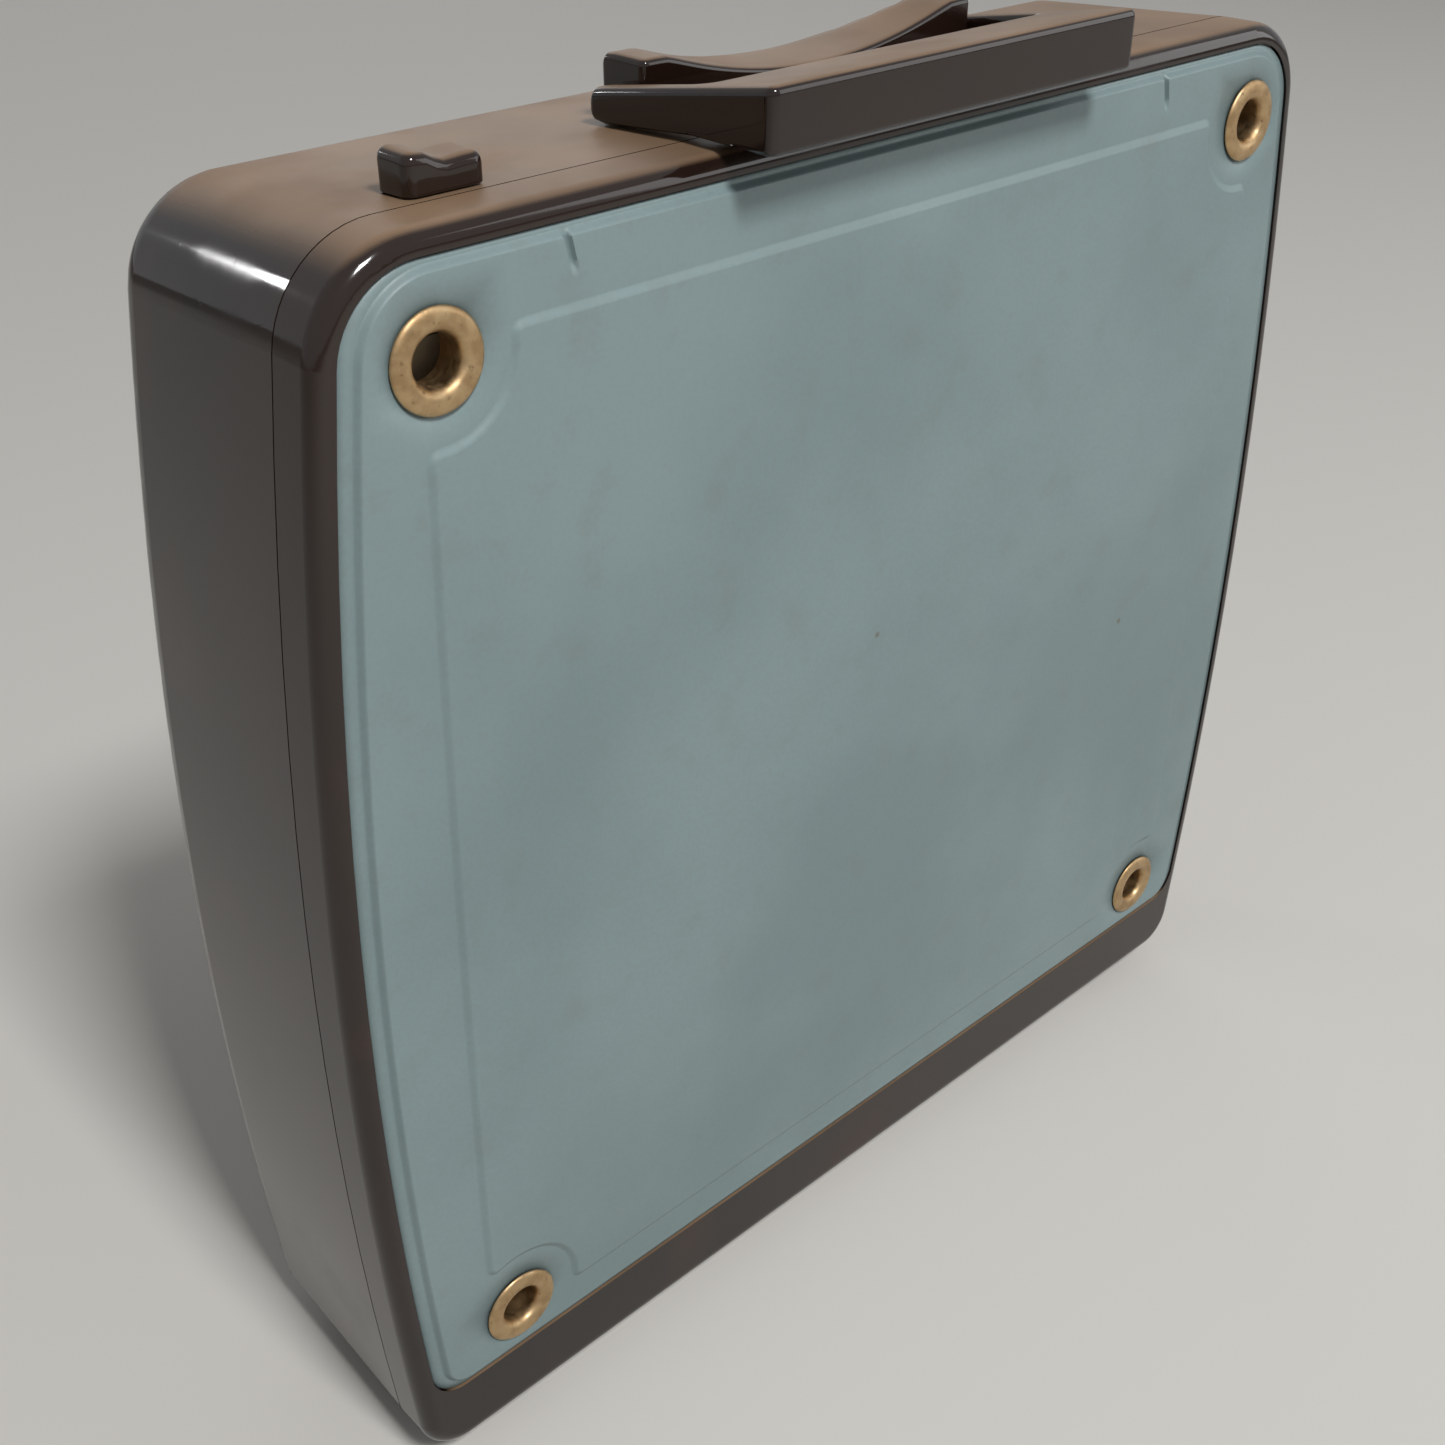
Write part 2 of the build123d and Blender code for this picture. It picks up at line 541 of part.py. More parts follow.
def make_bracket_screws():
    low = bracket_plate_ends()[2]
    return [screw_up(x, SADDLE_Y + BRACKET_SCREW_BACK, BRACKET_SCREW_R, BRACKET_SCREW_HEAD_R,
                     BRACKET_SCREW_HEAD, low, bracket_screw_tip() - SCREW_FIT)
            for x in (-BRACKET_SCREW_X, BRACKET_SCREW_X)]


# --- Slide lock ---------------------------------------------------------------------------
def make_lock_slider():
    left, right = SLIDER_X - SLIDER_LENGTH / 2, SLIDER_X + SLIDER_LENGTH / 2
    front, back = PARTING_Y + SLIDER_FRONT, PARTING_Y + SLIDER_FRONT + SLIDER_DEPTH
    left_z, right_z = TOP_Z + SLIDER_LEFT_RISE, TOP_Z + SLIDER_RIGHT_RISE
    base_z = TOP_Z - TOP_DRAFT - 1
    crown = make_face([Line((left, base_z), (right, base_z)), Line((right, base_z), (right, right_z)),
                       Line((right, right_z), (right - SLIDER_HORN, right_z)),
                       ThreePointArc((right - SLIDER_HORN, right_z), (SLIDER_X, TOP_Z + SLIDER_DIP_RISE),
                                     (left + SLIDER_HORN, left_z)),
                       Line((left + SLIDER_HORN, left_z), (left, left_z)),
                       Line((left, left_z), (left, base_z))])
    knob = extrude(front_plane(back) * crown, SLIDER_DEPTH)
    tips = knob.edges().filter_by(Axis.Y).group_by(Axis.X)
    knob = fillet([tips[0].sort_by(Axis.Z)[-1], tips[-1].sort_by(Axis.Z)[-1]], SLIDER_EDGE_R)
    floor = [(y, top_face_z(y) + SLIDER_LIFT) for y in (front - 1, back + 1)]
    knob -= side_prism([(front - 1, base_z - 5), (back + 1, base_z - 5), floor[1], floor[0]],
                       left - 1, right + 1)
    knob += block(SLIDER_X - STEM_LENGTH / 2, SLIDER_X + STEM_LENGTH / 2, BAR_Y - STEM_WIDTH / 2,
                  BAR_Y + STEM_WIDTH / 2, BAR_TOP_Z, TOP_Z + SLIDER_LIFT + 1)
    return knob - rod_z(SLIDER_X, BAR_Y, SLIDER_SCREW_R + SCREW_FIT, BAR_TOP_Z - 1,
                        BAR_TOP_Z + SLIDER_SCREW_BITE)


def make_slider_screw():
    return screw_up(SLIDER_X, BAR_Y, SLIDER_SCREW_R, SLIDER_SCREW_HEAD_R, SLIDER_SCREW_HEAD,
                    BAR_BOTTOM_Z, BAR_TOP_Z + SLIDER_SCREW_BITE - SCREW_FIT)


def bar_ends():
    """Left and right end of the latch bar."""
    return SLIDER_X - BAR_END_MARGIN, KEEPER_X[-1] - BOLT_TIP_GAP


def bolt_root(keeper_x):
    """Where a bolt's hanger ends and its tongue starts."""
    return keeper_x - BOLT_TIP_GAP - BOLT_LENGTH


def make_latch_bar():
    left, right = bar_ends()
    bar = block(left, right, BAR_Y - BAR_WIDTH / 2, BAR_Y + BAR_WIDTH / 2, BAR_BOTTOM_Z, BAR_TOP_Z)
    for x in KEEPER_X:
        root = bolt_root(x)
        bar += block(root - HANGER, root, BAR_Y - BOLT_WIDTH / 2, BAR_Y + BOLT_WIDTH / 2,
                     BOLT_Z - BOLT_HEIGHT / 2, BAR_BOTTOM_Z + BAR_THICK / 2)
        bar += block(root - HANGER, x - BOLT_TIP_GAP, BAR_Y - BOLT_WIDTH / 2, BAR_Y + BOLT_WIDTH / 2,
                     BOLT_Z - BOLT_HEIGHT / 2, BOLT_Z + BOLT_HEIGHT / 2)
    return bar - rod_z(SLIDER_X, BAR_Y, SLIDER_SCREW_R + SCREW_FIT, BAR_BOTTOM_Z - 1, BAR_TOP_Z + 1)


def make_latch_cover():
    left, right = bar_ends()
    front = PARTING_Y + COVER_FRONT
    cover = block(left - COVER_END_MARGIN, right + LOCK_TRAVEL + COVER_END_MARGIN,
                  front, front + COVER_DEPTH, COVER_BOTTOM_Z, COVER_TOP_Z)
    half = BOLT_WIDTH / 2 + SLOT_CLEARANCE
    for x in KEEPER_X:
        root = bolt_root(x)
        cover -= block(root - HANGER - SLOT_CLEARANCE, root + LOCK_TRAVEL + SLOT_CLEARANCE,
                       BAR_Y - half, BAR_Y + half, COVER_BOTTOM_Z - 1, COVER_TOP_Z + 1)
    reach = SLIDER_SCREW_HEAD_R + SLOT_CLEARANCE
    cover -= block(SLIDER_X - reach, SLIDER_X + LOCK_TRAVEL + reach, BAR_Y - reach, BAR_Y + reach,
                   COVER_BOTTOM_Z - 1, COVER_TOP_Z + 1)
    for x in BOSS_X:
        cover -= rod_z(x, PARTING_Y + BOSS_BACK, COVER_SCREW_R + SCREW_FIT, COVER_BOTTOM_Z - 1,
                       COVER_TOP_Z + 1)
    return cover


def make_cover_screws():
    return [screw_up(x, PARTING_Y + BOSS_BACK, COVER_SCREW_R, COVER_SCREW_HEAD_R, COVER_SCREW_HEAD,
                     COVER_BOTTOM_Z, COVER_TOP_Z + COVER_SCREW_BITE - SCREW_FIT) for x in BOSS_X]


def keeper_rivet_places():
    """Centres of the keeper rivets on the lid wall."""
    return [(x + step, BOLT_Z) for x in KEEPER_X for step in KEEPER_RIVET_X]


def make_lid_keepers():
    keepers = []
    low = KEEPER_TOP_Z - KEEPER_HEIGHT
    tip_y = PARTING_Y + KEEPER_REACH
    for x in KEEPER_X:
        keeper = block(x, x + KEEPER_THICK, LID_INNER_Y, tip_y, low, KEEPER_TOP_Z)
        keeper += block(x, x + KEEPER_FLANGE, LID_INNER_Y, LID_INNER_Y + KEEPER_THICK, low, KEEPER_TOP_Z)
        window_y = BAR_Y - BOLT_WIDTH / 2 - SLOT_CLEARANCE
        keeper -= block(x - 1, x + KEEPER_THICK + 1, window_y, tip_y - KEEPER_EDGE,
                        low + KEEPER_EDGE, KEEPER_TOP_Z - KEEPER_EDGE)
        for step in KEEPER_RIVET_X:
            keeper -= rod_y(x + step, BOLT_Z, SMALL_RIVET_R + RIVET_FIT, LID_INNER_Y - 1, PARTING_Y)
        keepers.append(keeper)
    return keepers


def make_keeper_rivets():
    rivets = []
    inner_y = LID_INNER_Y + KEEPER_THICK
    for x, z in keeper_rivet_places():
        rivet = rod_y(x, z, SMALL_RIVET_R, POCKET_Y, inner_y)
        rivet += rod_y(x, z, SMALL_RIVET_HEAD_R, POCKET_Y - SMALL_RIVET_HEAD, POCKET_Y)
        rivets.append(rivet + rod_y(x, z, SMALL_RIVET_HEAD_R, inner_y, inner_y + SMALL_RIVET_HEAD))
    return rivets


# --- Hinge and feet -----------------------------------------------------------------------
def case_rivet_y():
    """Depth of the rivets through the case's hinge leaf."""
    return PARTING_Y + KNUCKLE_R + LEAF_RELIEF + CASE_LEAF_WIDTH / 2


def lid_rivet_y():
    """Depth of the rivets through the lid's hinge leaf."""
    return PARTING_Y - KNUCKLE_R - LEAF_RELIEF - LID_LEAF_WIDTH / 2


def make_hinge_leaf(side, width, first, rivet_y):
    """Leaf with every second knuckle: side is +1 for the case and -1 for the lid."""
    near = PARTING_Y + side * (KNUCKLE_R + LEAF_RELIEF)
    leaf = block(-HINGE_HALF, HINGE_HALF, near, near + side * width, BOTTOM_Z - LEAF, BOTTOM_Z)
    length = 2 * HINGE_HALF / HINGE_KNUCKLES
    for index in range(first, HINGE_KNUCKLES, 2):
        x0 = -HINGE_HALF + index * length + KNUCKLE_GAP / 2
        x1 = x0 + length - KNUCKLE_GAP
        leaf += rod_x(PARTING_Y, HINGE_Z, KNUCKLE_R, x0, x1)
        leaf += block(x0, x1, PARTING_Y, near, BOTTOM_Z - LEAF, BOTTOM_Z)
    leaf -= rod_x(PARTING_Y, HINGE_Z, HINGE_PIN_R + HINGE_PIN_FIT, -HINGE_HALF - 1, HINGE_HALF + 1)
    for x in LEAF_RIVET_X:
        leaf -= rod_z(x, rivet_y, HINGE_RIVET_R + RIVET_FIT, BOTTOM_Z - LEAF - 1, BOTTOM_Z + 1)
    return leaf


def make_hinge_rivets(rivet_y):
    return [rivet_z(x, rivet_y, HINGE_RIVET_R, HINGE_RIVET_HEAD_R, HINGE_RIVET_HEAD,
                    BOTTOM_Z - LEAF, BOTTOM_Z + WALL) for x in LEAF_RIVET_X]


def make_rubber_feet():
    feet = []
    for x, y in FEET:
        pad = rod_z(x, y, FOOT_R, 0, BOTTOM_Z)
        pad = fillet(pad.edges().group_by(Axis.Z)[0], FOOT_HEAD)
        foot = pad + rod_z(x, y, FOOT_STEM_R, BOTTOM_Z, BOTTOM_Z + WALL)
        feet.append(foot + rod_z(x, y, FOOT_HEAD_R, BOTTOM_Z + WALL, BOTTOM_Z + WALL + FOOT_HEAD))
    return feet


# --- Write one file per piece -------------------------------------------------------------
def main():
    nodes = {
        "rear_shell": make_rear_shell(),
        "case_liner": make_case_liner(),
        "rim_seal": make_rim_seal(),
        "lid_shell": make_lid_shell(),
        "lid_liner": make_lid_liner(),
        "front_panel": make_front_panel(),
        "panel_eyelets": make_panel_eyelets(),
        "eyelet_washers": make_eyelet_washers(),
        "handle_grip": make_handle_grip(),
        "handle_bracket": make_handle_bracket(),
        "handle_pins": make_handle_pins(),
        "bracket_plate": make_bracket_plate(),
        "bracket_screws": make_bracket_screws(),
        "lock_slider": make_lock_slider(),
        "slider_screw": make_slider_screw(),
        "latch_bar": make_latch_bar(),
        "latch_cover": make_latch_cover(),
        "cover_screws": make_cover_screws(),
        "lid_keepers": make_lid_keepers(),
        "keeper_rivets": make_keeper_rivets(),
        "case_hinge_leaf": make_hinge_leaf(1, CASE_LEAF_WIDTH, 0, case_rivet_y()),
        "lid_hinge_leaf": make_hinge_leaf(-1, LID_LEAF_WIDTH, 1, lid_rivet_y()),
        "hinge_pin": rod_x(PARTING_Y, HINGE_Z, HINGE_PIN_R, -HINGE_HALF, HINGE_HALF),
        "case_leaf_rivets": make_hinge_rivets(case_rivet_y()),
        "lid_leaf_rivets": make_hinge_rivets(lid_rivet_y()),
        "rubber_feet": make_rubber_feet(),
    }
    os.makedirs("parts", exist_ok=True)
    for name, shape in nodes.items():
        solids = shape if isinstance(shape, list) else [shape]
        export_step(Compound(children=[solid for piece in solids for solid in piece.solids()]),
                    f"parts/{name}.step")


main()
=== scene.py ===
"""Looks of a rigid school lunch box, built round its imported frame.

The case and lid are moulded in dark brown ABS, the front is a pressed steel sheet in grey-blue
stoving enamel, and four hollow brass eyelets hold it. The frame's own axes are used: +Z up, the
front faces -Y. Sizes are in millimetres until a mesh is made, and in metres after that.
"""

import logging
import math
from collections.abc import Callable, Iterable
from dataclasses import dataclass, field
from enum import Enum

import bmesh
import bpy
from mathutils import Matrix, Vector
from mathutils.geometry import delaunay_2d_cdt

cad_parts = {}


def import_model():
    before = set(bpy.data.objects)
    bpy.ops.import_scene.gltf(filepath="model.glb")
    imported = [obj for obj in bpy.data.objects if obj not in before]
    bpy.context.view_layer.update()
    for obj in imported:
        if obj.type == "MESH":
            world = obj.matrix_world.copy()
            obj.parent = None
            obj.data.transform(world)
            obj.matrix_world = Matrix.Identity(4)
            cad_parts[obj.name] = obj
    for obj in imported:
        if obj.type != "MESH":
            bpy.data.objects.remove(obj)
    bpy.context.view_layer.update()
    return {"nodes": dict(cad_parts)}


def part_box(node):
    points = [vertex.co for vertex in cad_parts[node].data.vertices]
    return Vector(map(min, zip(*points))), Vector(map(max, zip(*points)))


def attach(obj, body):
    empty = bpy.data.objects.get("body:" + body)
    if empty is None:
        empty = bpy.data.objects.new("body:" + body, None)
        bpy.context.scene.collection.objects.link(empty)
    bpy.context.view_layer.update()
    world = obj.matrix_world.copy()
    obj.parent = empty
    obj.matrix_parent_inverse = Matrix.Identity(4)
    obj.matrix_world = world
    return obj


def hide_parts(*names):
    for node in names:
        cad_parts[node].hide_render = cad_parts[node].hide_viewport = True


LOG = logging.getLogger("lunch_box")
MM = 0.001
WASHER_R = 7.4
NICKS_X = (-73.5, 67.7)      # pressed nicks in the panel's top border
BULGE = 5e-7      # see bulged()
Lift = Callable[[float, float], Vector]
Height = Callable[[float, float], float]
VertRing = list[bmesh.types.BMVert]


# --- Materials: the tools -----------------------------------------------------------------
def linear(hex_colour: str) -> tuple[float, float, float, float]:
    """Turn an sRGB hex colour into the linear values that shaders take.

    Args:
        hex_colour: Colour such as "7c8f93".

    Returns:
        Red, green, blue and an alpha of 1.
    """
    parts = [int(hex_colour[i:i + 2], 16) / 255 for i in (0, 2, 4)]
    values = [c / 12.92 if c <= 0.04045 else ((c + 0.055) / 1.055) ** 2.4 for c in parts]
    return values[0], values[1], values[2], 1.0


def per_metre(size_mm: float) -> float:
    """Texture scale whose features are size_mm across, on coordinates in metres."""
    return 1.0 / (size_mm * MM)


class Tree:
    """Node tree of a material or a world."""

    def __init__(self, owner: bpy.types.ID) -> None:
        """Switch the owner's nodes on.

        Args:
            owner: Material or world.
        """
        owner.use_nodes = True
        self.owner = owner

    def add(self, kind: str, inputs: dict | None = None, out: int | str = 0,
            **settings: object) -> bpy.types.NodeSocket:
        """Add a node with its settings and links.

        Args:
            kind: Node type, such as "ShaderNodeTexNoise".
            inputs: Socket name or number to a value or to an output socket to link.
            out: Name or number of the output to return.
            settings: Attributes of the node.

        Returns:
            The chosen output socket.
        """
        node = self.owner.node_tree.nodes.new(kind)
        for key, value in settings.items():
            setattr(node, key, value)
        self.feed(node, inputs or {})
        return node.outputs[out]

    def feed(self, node: bpy.types.Node, inputs: dict) -> None:
        """Set a node's sockets to values, or link outputs into them.

        Args:
            node: Node to feed.
            inputs: Socket name or number to a value or to an output socket.
        """
        for key, value in inputs.items():
            if isinstance(value, bpy.types.NodeSocket):
                self.owner.node_tree.links.new(value, node.inputs[key])
            else:
                node.inputs[key].default_value = value


class Surface(Tree):
    """Material whose patterns are sized in real millimetres."""

    def __init__(self, name: str) -> None:
        """Make the material.

        Args:
            name: Material name.
        """
        super().__init__(bpy.data.materials.new(name))
        self.coords = self.add("ShaderNodeTexCoord", out="Object")

    def grain(self, size_mm: float, detail: float, seed: float,
              stretch: tuple[float, float, float] = (1.0, 1.0, 1.0)) -> bpy.types.NodeSocket:
        """Lay an uneven pattern on the object.

        Args:
            size_mm: Size of the largest blotches.
            detail: Octaves of finer noise.
            seed: Offset that picks another part of the noise.
            stretch: Scale along each axis, for streaks.

        Returns:
            The pattern, about 0.3 to 0.7.
        """
        place = self.add("ShaderNodeMapping", {"Vector": self.coords, "Scale": stretch,
                                               "Location": (seed, seed * 0.7, seed * 1.3)})
        return self.add("ShaderNodeTexNoise", {"Vector": place, "Detail": detail,
                                               "Scale": per_metre(size_mm)})

    def mask(self, size_mm: float, low: float, high: float, least: float = 0.0, most: float = 1.0,
             detail: float = 4.0, seed: float = 0.0,
             stretch: tuple[float, float, float] = (1.0, 1.0, 1.0)) -> bpy.types.NodeSocket:
        """Turn a grain into soft-edged blotches.

        Args:
            size_mm: Size of the largest blotches.
            low: Grain that gives least.
            high: Grain that gives most.
            least: Value between the blotches.
            most: Value inside them.
            detail: Octaves of finer noise.
            seed: Offset that picks another part of the noise.
            stretch: Scale along each axis, for streaks.

        Returns:
            The blotches.
        """
        return self.add("ShaderNodeMapRange",
                        {"Value": self.grain(size_mm, detail, seed, stretch), "From Min": low,
                         "From Max": high, "To Min": least, "To Max": most},
                        interpolation_type="SMOOTHSTEP")

    def stained(self, under: object, hex_colour: str, *blotches: float,
                **pattern: float) -> bpy.types.NodeSocket:
        """Lay blotches of a colour over another.

        Args:
            under: Colour or socket below.
            hex_colour: Colour of the blotches.
            blotches: Size, low, high, least and most of the mask.
            pattern: Detail and seed of the mask.

        Returns:
            The stained colour.
        """
        return self.add("ShaderNodeMix", {"Factor": self.mask(*blotches, **pattern), 6: under,
                                          7: linear(hex_colour)}, 2, data_type="RGBA")

    def pebbled(self, size_mm: float, depth_mm: float, strength: float, detail: float,
                seed: float) -> bpy.types.NodeSocket:
        """Make a surface that is uneven by a real depth.

        Args:
            size_mm: Size of the pebbles.
            depth_mm: Their height.
            strength: How much of it to use.
            detail: Octaves of finer noise.
            seed: Offset that picks another part of the noise.

        Returns:
            The bumped normal.
        """
        return self.add("ShaderNodeBump", {"Height": self.grain(size_mm, detail, seed),
                                           "Distance": depth_mm * MM, "Strength": strength})

    def dress(self, **sockets: object) -> bpy.types.Material:
        """Feed the shader's sockets, with underscores for spaces, and return the material."""
        shader = self.owner.node_tree.nodes["Principled BSDF"]
        self.feed(shader, {key.replace("_", " "): value for key, value in sockets.items()})
        return self.owner


# --- Materials: the finishes --------------------------------------------------------------
@dataclass(frozen=True)
class MouldedAbs:
    """Dark brown ABS from a polished mould: near-mirror gloss dulled by hands and dust."""

    deep: str = "170e0a"
    warm: str = "241711"
    # Pale tan of dust, which is also painted sheen: it makes up-facing faces lighter, as light from
    # above would.
    dust_and_top_sheen: str = "a8886a"
    dust_and_sheen_share: float = 0.62
    dust_dulling: float = 0.42       # roughness that dust adds
    sun_fade: str = "361d13"
    scratch_mm: float = 0.006

    def build(self) -> bpy.types.Material:
        """Build the material.

        Returns:
            The ABS material.
        """
        t = Surface("abs_moulded_dark_brown")
        # Two near-black browns and a sun-faded red keep the large faces from looking printed.
        body = t.stained(linear(self.deep), self.warm, 70.0, 0.36, 0.64, detail=3.0)
        body = t.stained(body, self.sun_fade, 34.0, 0.56, 0.72, 0.0, 0.45, detail=2.0, seed=13.0)
        # Dust and fine scuffing settle on faces that look up, thinner where hands wipe them. The
        # same pale mix is also a painted sheen: it lightens the top face in its base colour, as the
        # lamp above would.
        facing = t.add("ShaderNodeSeparateXYZ",
                       {0: t.add("ShaderNodeNewGeometry", out="Normal")}, out=2)
        facing_up = t.add("ShaderNodeMapRange",
                          {"Value": facing, "From Min": 0.72, "From Max": 0.99},
                          interpolation_type="SMOOTHSTEP")
        wiped = t.mask(26.0, 0.25, 0.75, 0.65, 1.0, detail=6.0, seed=3.0)
        dust_and_sheen_mask = t.add("ShaderNodeMath", {0: facing_up, 1: wiped}, operation="MULTIPLY")
        dust_and_sheen_amount = t.add("ShaderNodeMath", {0: dust_and_sheen_mask, 1: self.dust_and_sheen_share}, operation="MULTIPLY")
        # Part real dust, part painted sheen on the top face.
        colour = t.add("ShaderNodeMix", {"Factor": dust_and_sheen_amount, 6: body, 7: linear(self.dust_and_top_sheen)}, 2,
                       data_type="RGBA")
        # Finger smears are a few millimetres wide, and dust makes the upper faces satin.
        smears = t.mask(22.0, 0.42, 0.74, 0.07, 0.20, detail=6.0, seed=7.0)
        satin = t.add("ShaderNodeMath", {0: facing_up, 1: self.dust_dulling}, operation="MULTIPLY")
        rough = t.add("ShaderNodeMath", {0: smears, 1: satin}, operation="ADD")
        # Hairline scratches run along the faces, over the faint peel of the mould.
        scratch = t.mask(3.0, 0.63, 0.70, detail=3.0, seed=11.0, stretch=(0.10, 1.0, 1.8))
        normal = t.add("ShaderNodeBump",
                       {"Height": scratch, "Distance": self.scratch_mm * MM, "Strength": 0.5,
                        "Normal": t.pebbled(2.2, 0.012, 0.35, 2.0, 5.0)})
        return t.dress(Base_Color=colour, Roughness=rough, Normal=normal, IOR=1.53)


@dataclass(frozen=True)
class StovedEnamel:
    """Grey-blue stoving enamel on pressed steel: satin, faint orange peel, small age marks."""

    light: str = "7f9193"
    dark: str = "748688"
    grime: str = "6f7068"
    stain: str = "5a4a38"
    stain_pitch: float = 40.0        # mm between stains

    def build(self) -> bpy.types.Material:
        """Build the material.

        Returns:
            The enamel material.
        """
        t = Surface("steel_stove_enamelled_grey_blue")
        # Old enamel clouds and greys in small blotches, and its pigment shows as a fine fleck.
        colour = t.stained(linear(self.dark), self.light, 70.0, 0.34, 0.66, detail=5.0)
        colour = t.stained(colour, self.grime, 9.0, 0.54, 0.80, 0.0, 0.20, detail=8.0, seed=4.0)
        colour = t.stained(colour, self.grime, 0.9, 0.30, 0.72, 0.0, 0.12, detail=3.0, seed=6.0)
        # A few pin-sized stains tell the eye how large the sheet is.
        spots = t.add("ShaderNodeTexVoronoi",
                      {"Vector": t.coords, "Scale": per_metre(self.stain_pitch)}, "Distance")
        stain = t.add("ShaderNodeMapRange", {"Value": spots, "From Min": 0.010, "From Max": 0.022,
                                             "To Min": 0.6, "To Max": 0.0},
                      interpolation_type="SMOOTHSTEP")
        colour = t.add("ShaderNodeMix", {"Factor": stain, 6: colour, 7: linear(self.stain)}, 2,
                       data_type="RGBA")
        rough = t.mask(20.0, 0.3, 0.7, 0.40, 0.52, detail=6.0, seed=9.0)
        # Orange peel breaks up the highlights along the pressed border.
        peel = t.pebbled(1.3, 0.012, 0.35, 3.0, 2.0)
        return t.dress(Base_Color=colour, Roughness=rough, Normal=peel, IOR=1.5)


@dataclass(frozen=True)
class PressedBrass:
    """Pressed brass eyelets, rubbed bright on the crown and brown in the recesses."""

    bright: str = "bfa37c"
    patina: str = "94744e"
    patina_share: float = 0.55
    grime: str = "4a3320"

    def build(self) -> bpy.types.Material:
        """Build the material.

        Returns:
            The brass material.
        """
        t = Surface("brass_pressed_aged")
        # Uneven patina and brown specks make the metal look old and handled, not plated.
        age = t.add("ShaderNodeMath", {0: t.mask(2.6, 0.36, 0.68, detail=7.0),
                                       1: self.patina_share}, operation="MULTIPLY")
        colour = t.add("ShaderNodeMix", {"Factor": age, 6: linear(self.bright),
                                         7: linear(self.patina)}, 2, data_type="RGBA")
        colour = t.stained(colour, self.grime, 1.1, 0.60, 0.74, 0.0, 0.5, detail=5.0, seed=4.0)
        rough = t.mask(1.5, 0.3, 0.7, 0.38, 0.56, detail=5.0, seed=2.0)
        dents = t.pebbled(0.8, 0.03, 0.5, 4.0, 6.0)
        return t.dress(Base_Color=colour, Metallic=1.0, Roughness=rough, Normal=dents)


@dataclass(frozen=True)
class PlatedSteel:
    """Zinc-plated steel fittings: pale grey, softly mottled by the plating bath."""

    pale: str = "b9bab8"
    dull: str = "8f908c"

    def build(self) -> bpy.types.Material:
        """Build the material.

        Returns:
            The steel material.
        """
        t = Surface("steel_zinc_plated")
        # The soft mottle tells zinc from bare or chromed steel.
        colour = t.stained(linear(self.dull), self.pale, 4.0, 0.35, 0.65)
        rough = t.mask(2.0, 0.3, 0.7, 0.28, 0.44, detail=5.0, seed=3.0)
        skin = t.pebbled(0.8, 0.01, 0.4, 3.0, 8.0)
        return t.dress(Base_Color=colour, Metallic=1.0, Roughness=rough, Normal=skin)


@dataclass(frozen=True)
class MouldedPolypropylene:
    """Off-white polypropylene liners: satin, slightly waxy, with faint handling marks."""

    clean: str = "d3cdbf"
    stained: str = "c8c0ae"

    def build(self) -> bpy.types.Material:
        """Build the material.

        Returns:
            The polypropylene material.
        """
        t = Surface("polypropylene_moulded_off_white")
        # A faint yellowing in broad patches makes the liner look used.
        colour = t.stained(linear(self.clean), self.stained, 60.0, 0.3, 0.8)
        rough = t.mask(8.0, 0.3, 0.7, 0.42, 0.60, detail=5.0, seed=2.0)
        skin = t.pebbled(0.9, 0.02, 0.4, 3.0, 4.0)
        return t.dress(Base_Color=colour, Roughness=rough, Normal=skin, IOR=1.49)


@dataclass(frozen=True)
class MouldedRubber:
    """Black moulded rubber feet and seal: matte with a grey bloom."""

    black: str = "191817"
    bloom: str = "3a3835"

    def build(self) -> bpy.types.Material:
        """Build the material.

        Returns:
            The rubber material.
        """
        t = Surface("rubber_moulded_black")
        # The grey bloom keeps the feet from reading as the glossy plastic beside them.
        colour = t.stained(linear(self.black), self.bloom, 5.0, 0.45, 0.75, detail=6.0)
        rough = t.mask(3.0, 0.3, 0.7, 0.62, 0.82, seed=2.0)
        skin = t.pebbled(0.7, 0.04, 0.6, 4.0, 5.0)
        return t.dress(Base_Color=colour, Roughness=rough, Normal=skin, IOR=1.52)


class Finish(Enum):
    """Finishes of the box, each with the name of its slot in the record."""

    SHELL = ("dark_shell", MouldedAbs())
    ENAMEL = ("blue_enamel", StovedEnamel())
    BRASS = ("aged_brass", PressedBrass())
    STEEL = ("bright_steel", PlatedSteel())
    LINER = ("liner_plastic", MouldedPolypropylene())
    RUBBER = ("soft_rubber", MouldedRubber())


class Palette:
    """Builds each finish once and puts it on pieces."""

    def __init__(self) -> None:
        """Build every material."""
        self.materials = {finish: finish.value[1].build() for finish in Finish}

    def paint(self, piece: bpy.types.Object, finish: Finish) -> None:
        """Give a piece one finish.

        Args:
            piece: Mesh object.
            finish: Which finish.
        """
        piece.data.materials.clear()
        piece.data.materials.append(self.materials[finish])


# --- Outlines -----------------------------------------------------------------------------
@dataclass(frozen=True)
class EdgePoint:
    """Point of a flat outline, with the outline's outward normal there."""

    at: Vector
    out: Vector

    def moved(self, distance: float) -> Vector:
        """Point moved outwards by a distance."""
        return self.at + self.out * distance


def arc(centre: Vector, radius: float, start: float, end: float, steps: int,
        hollow: bool = False) -> list[EdgePoint]:
    """Sample an arc.

    Args:
        centre: Centre of the arc.
        radius: Its radius.
        start: First angle, in radians.
        end: Last angle.
        steps: Number of steps.
        hollow: Whether the shape lies outside the arc's circle, which is then run clockwise.

    Returns:
        Points with normals away from the shape.
    """
    if hollow and end > start:
        end -= math.tau
    points = []
    for i in range(steps + 1):
        angle = start + (end - start) * i / steps
        ray = Vector((math.cos(angle), math.sin(angle)))
        points.append(EdgePoint(centre + ray * radius, -ray if hollow else ray))
    return points


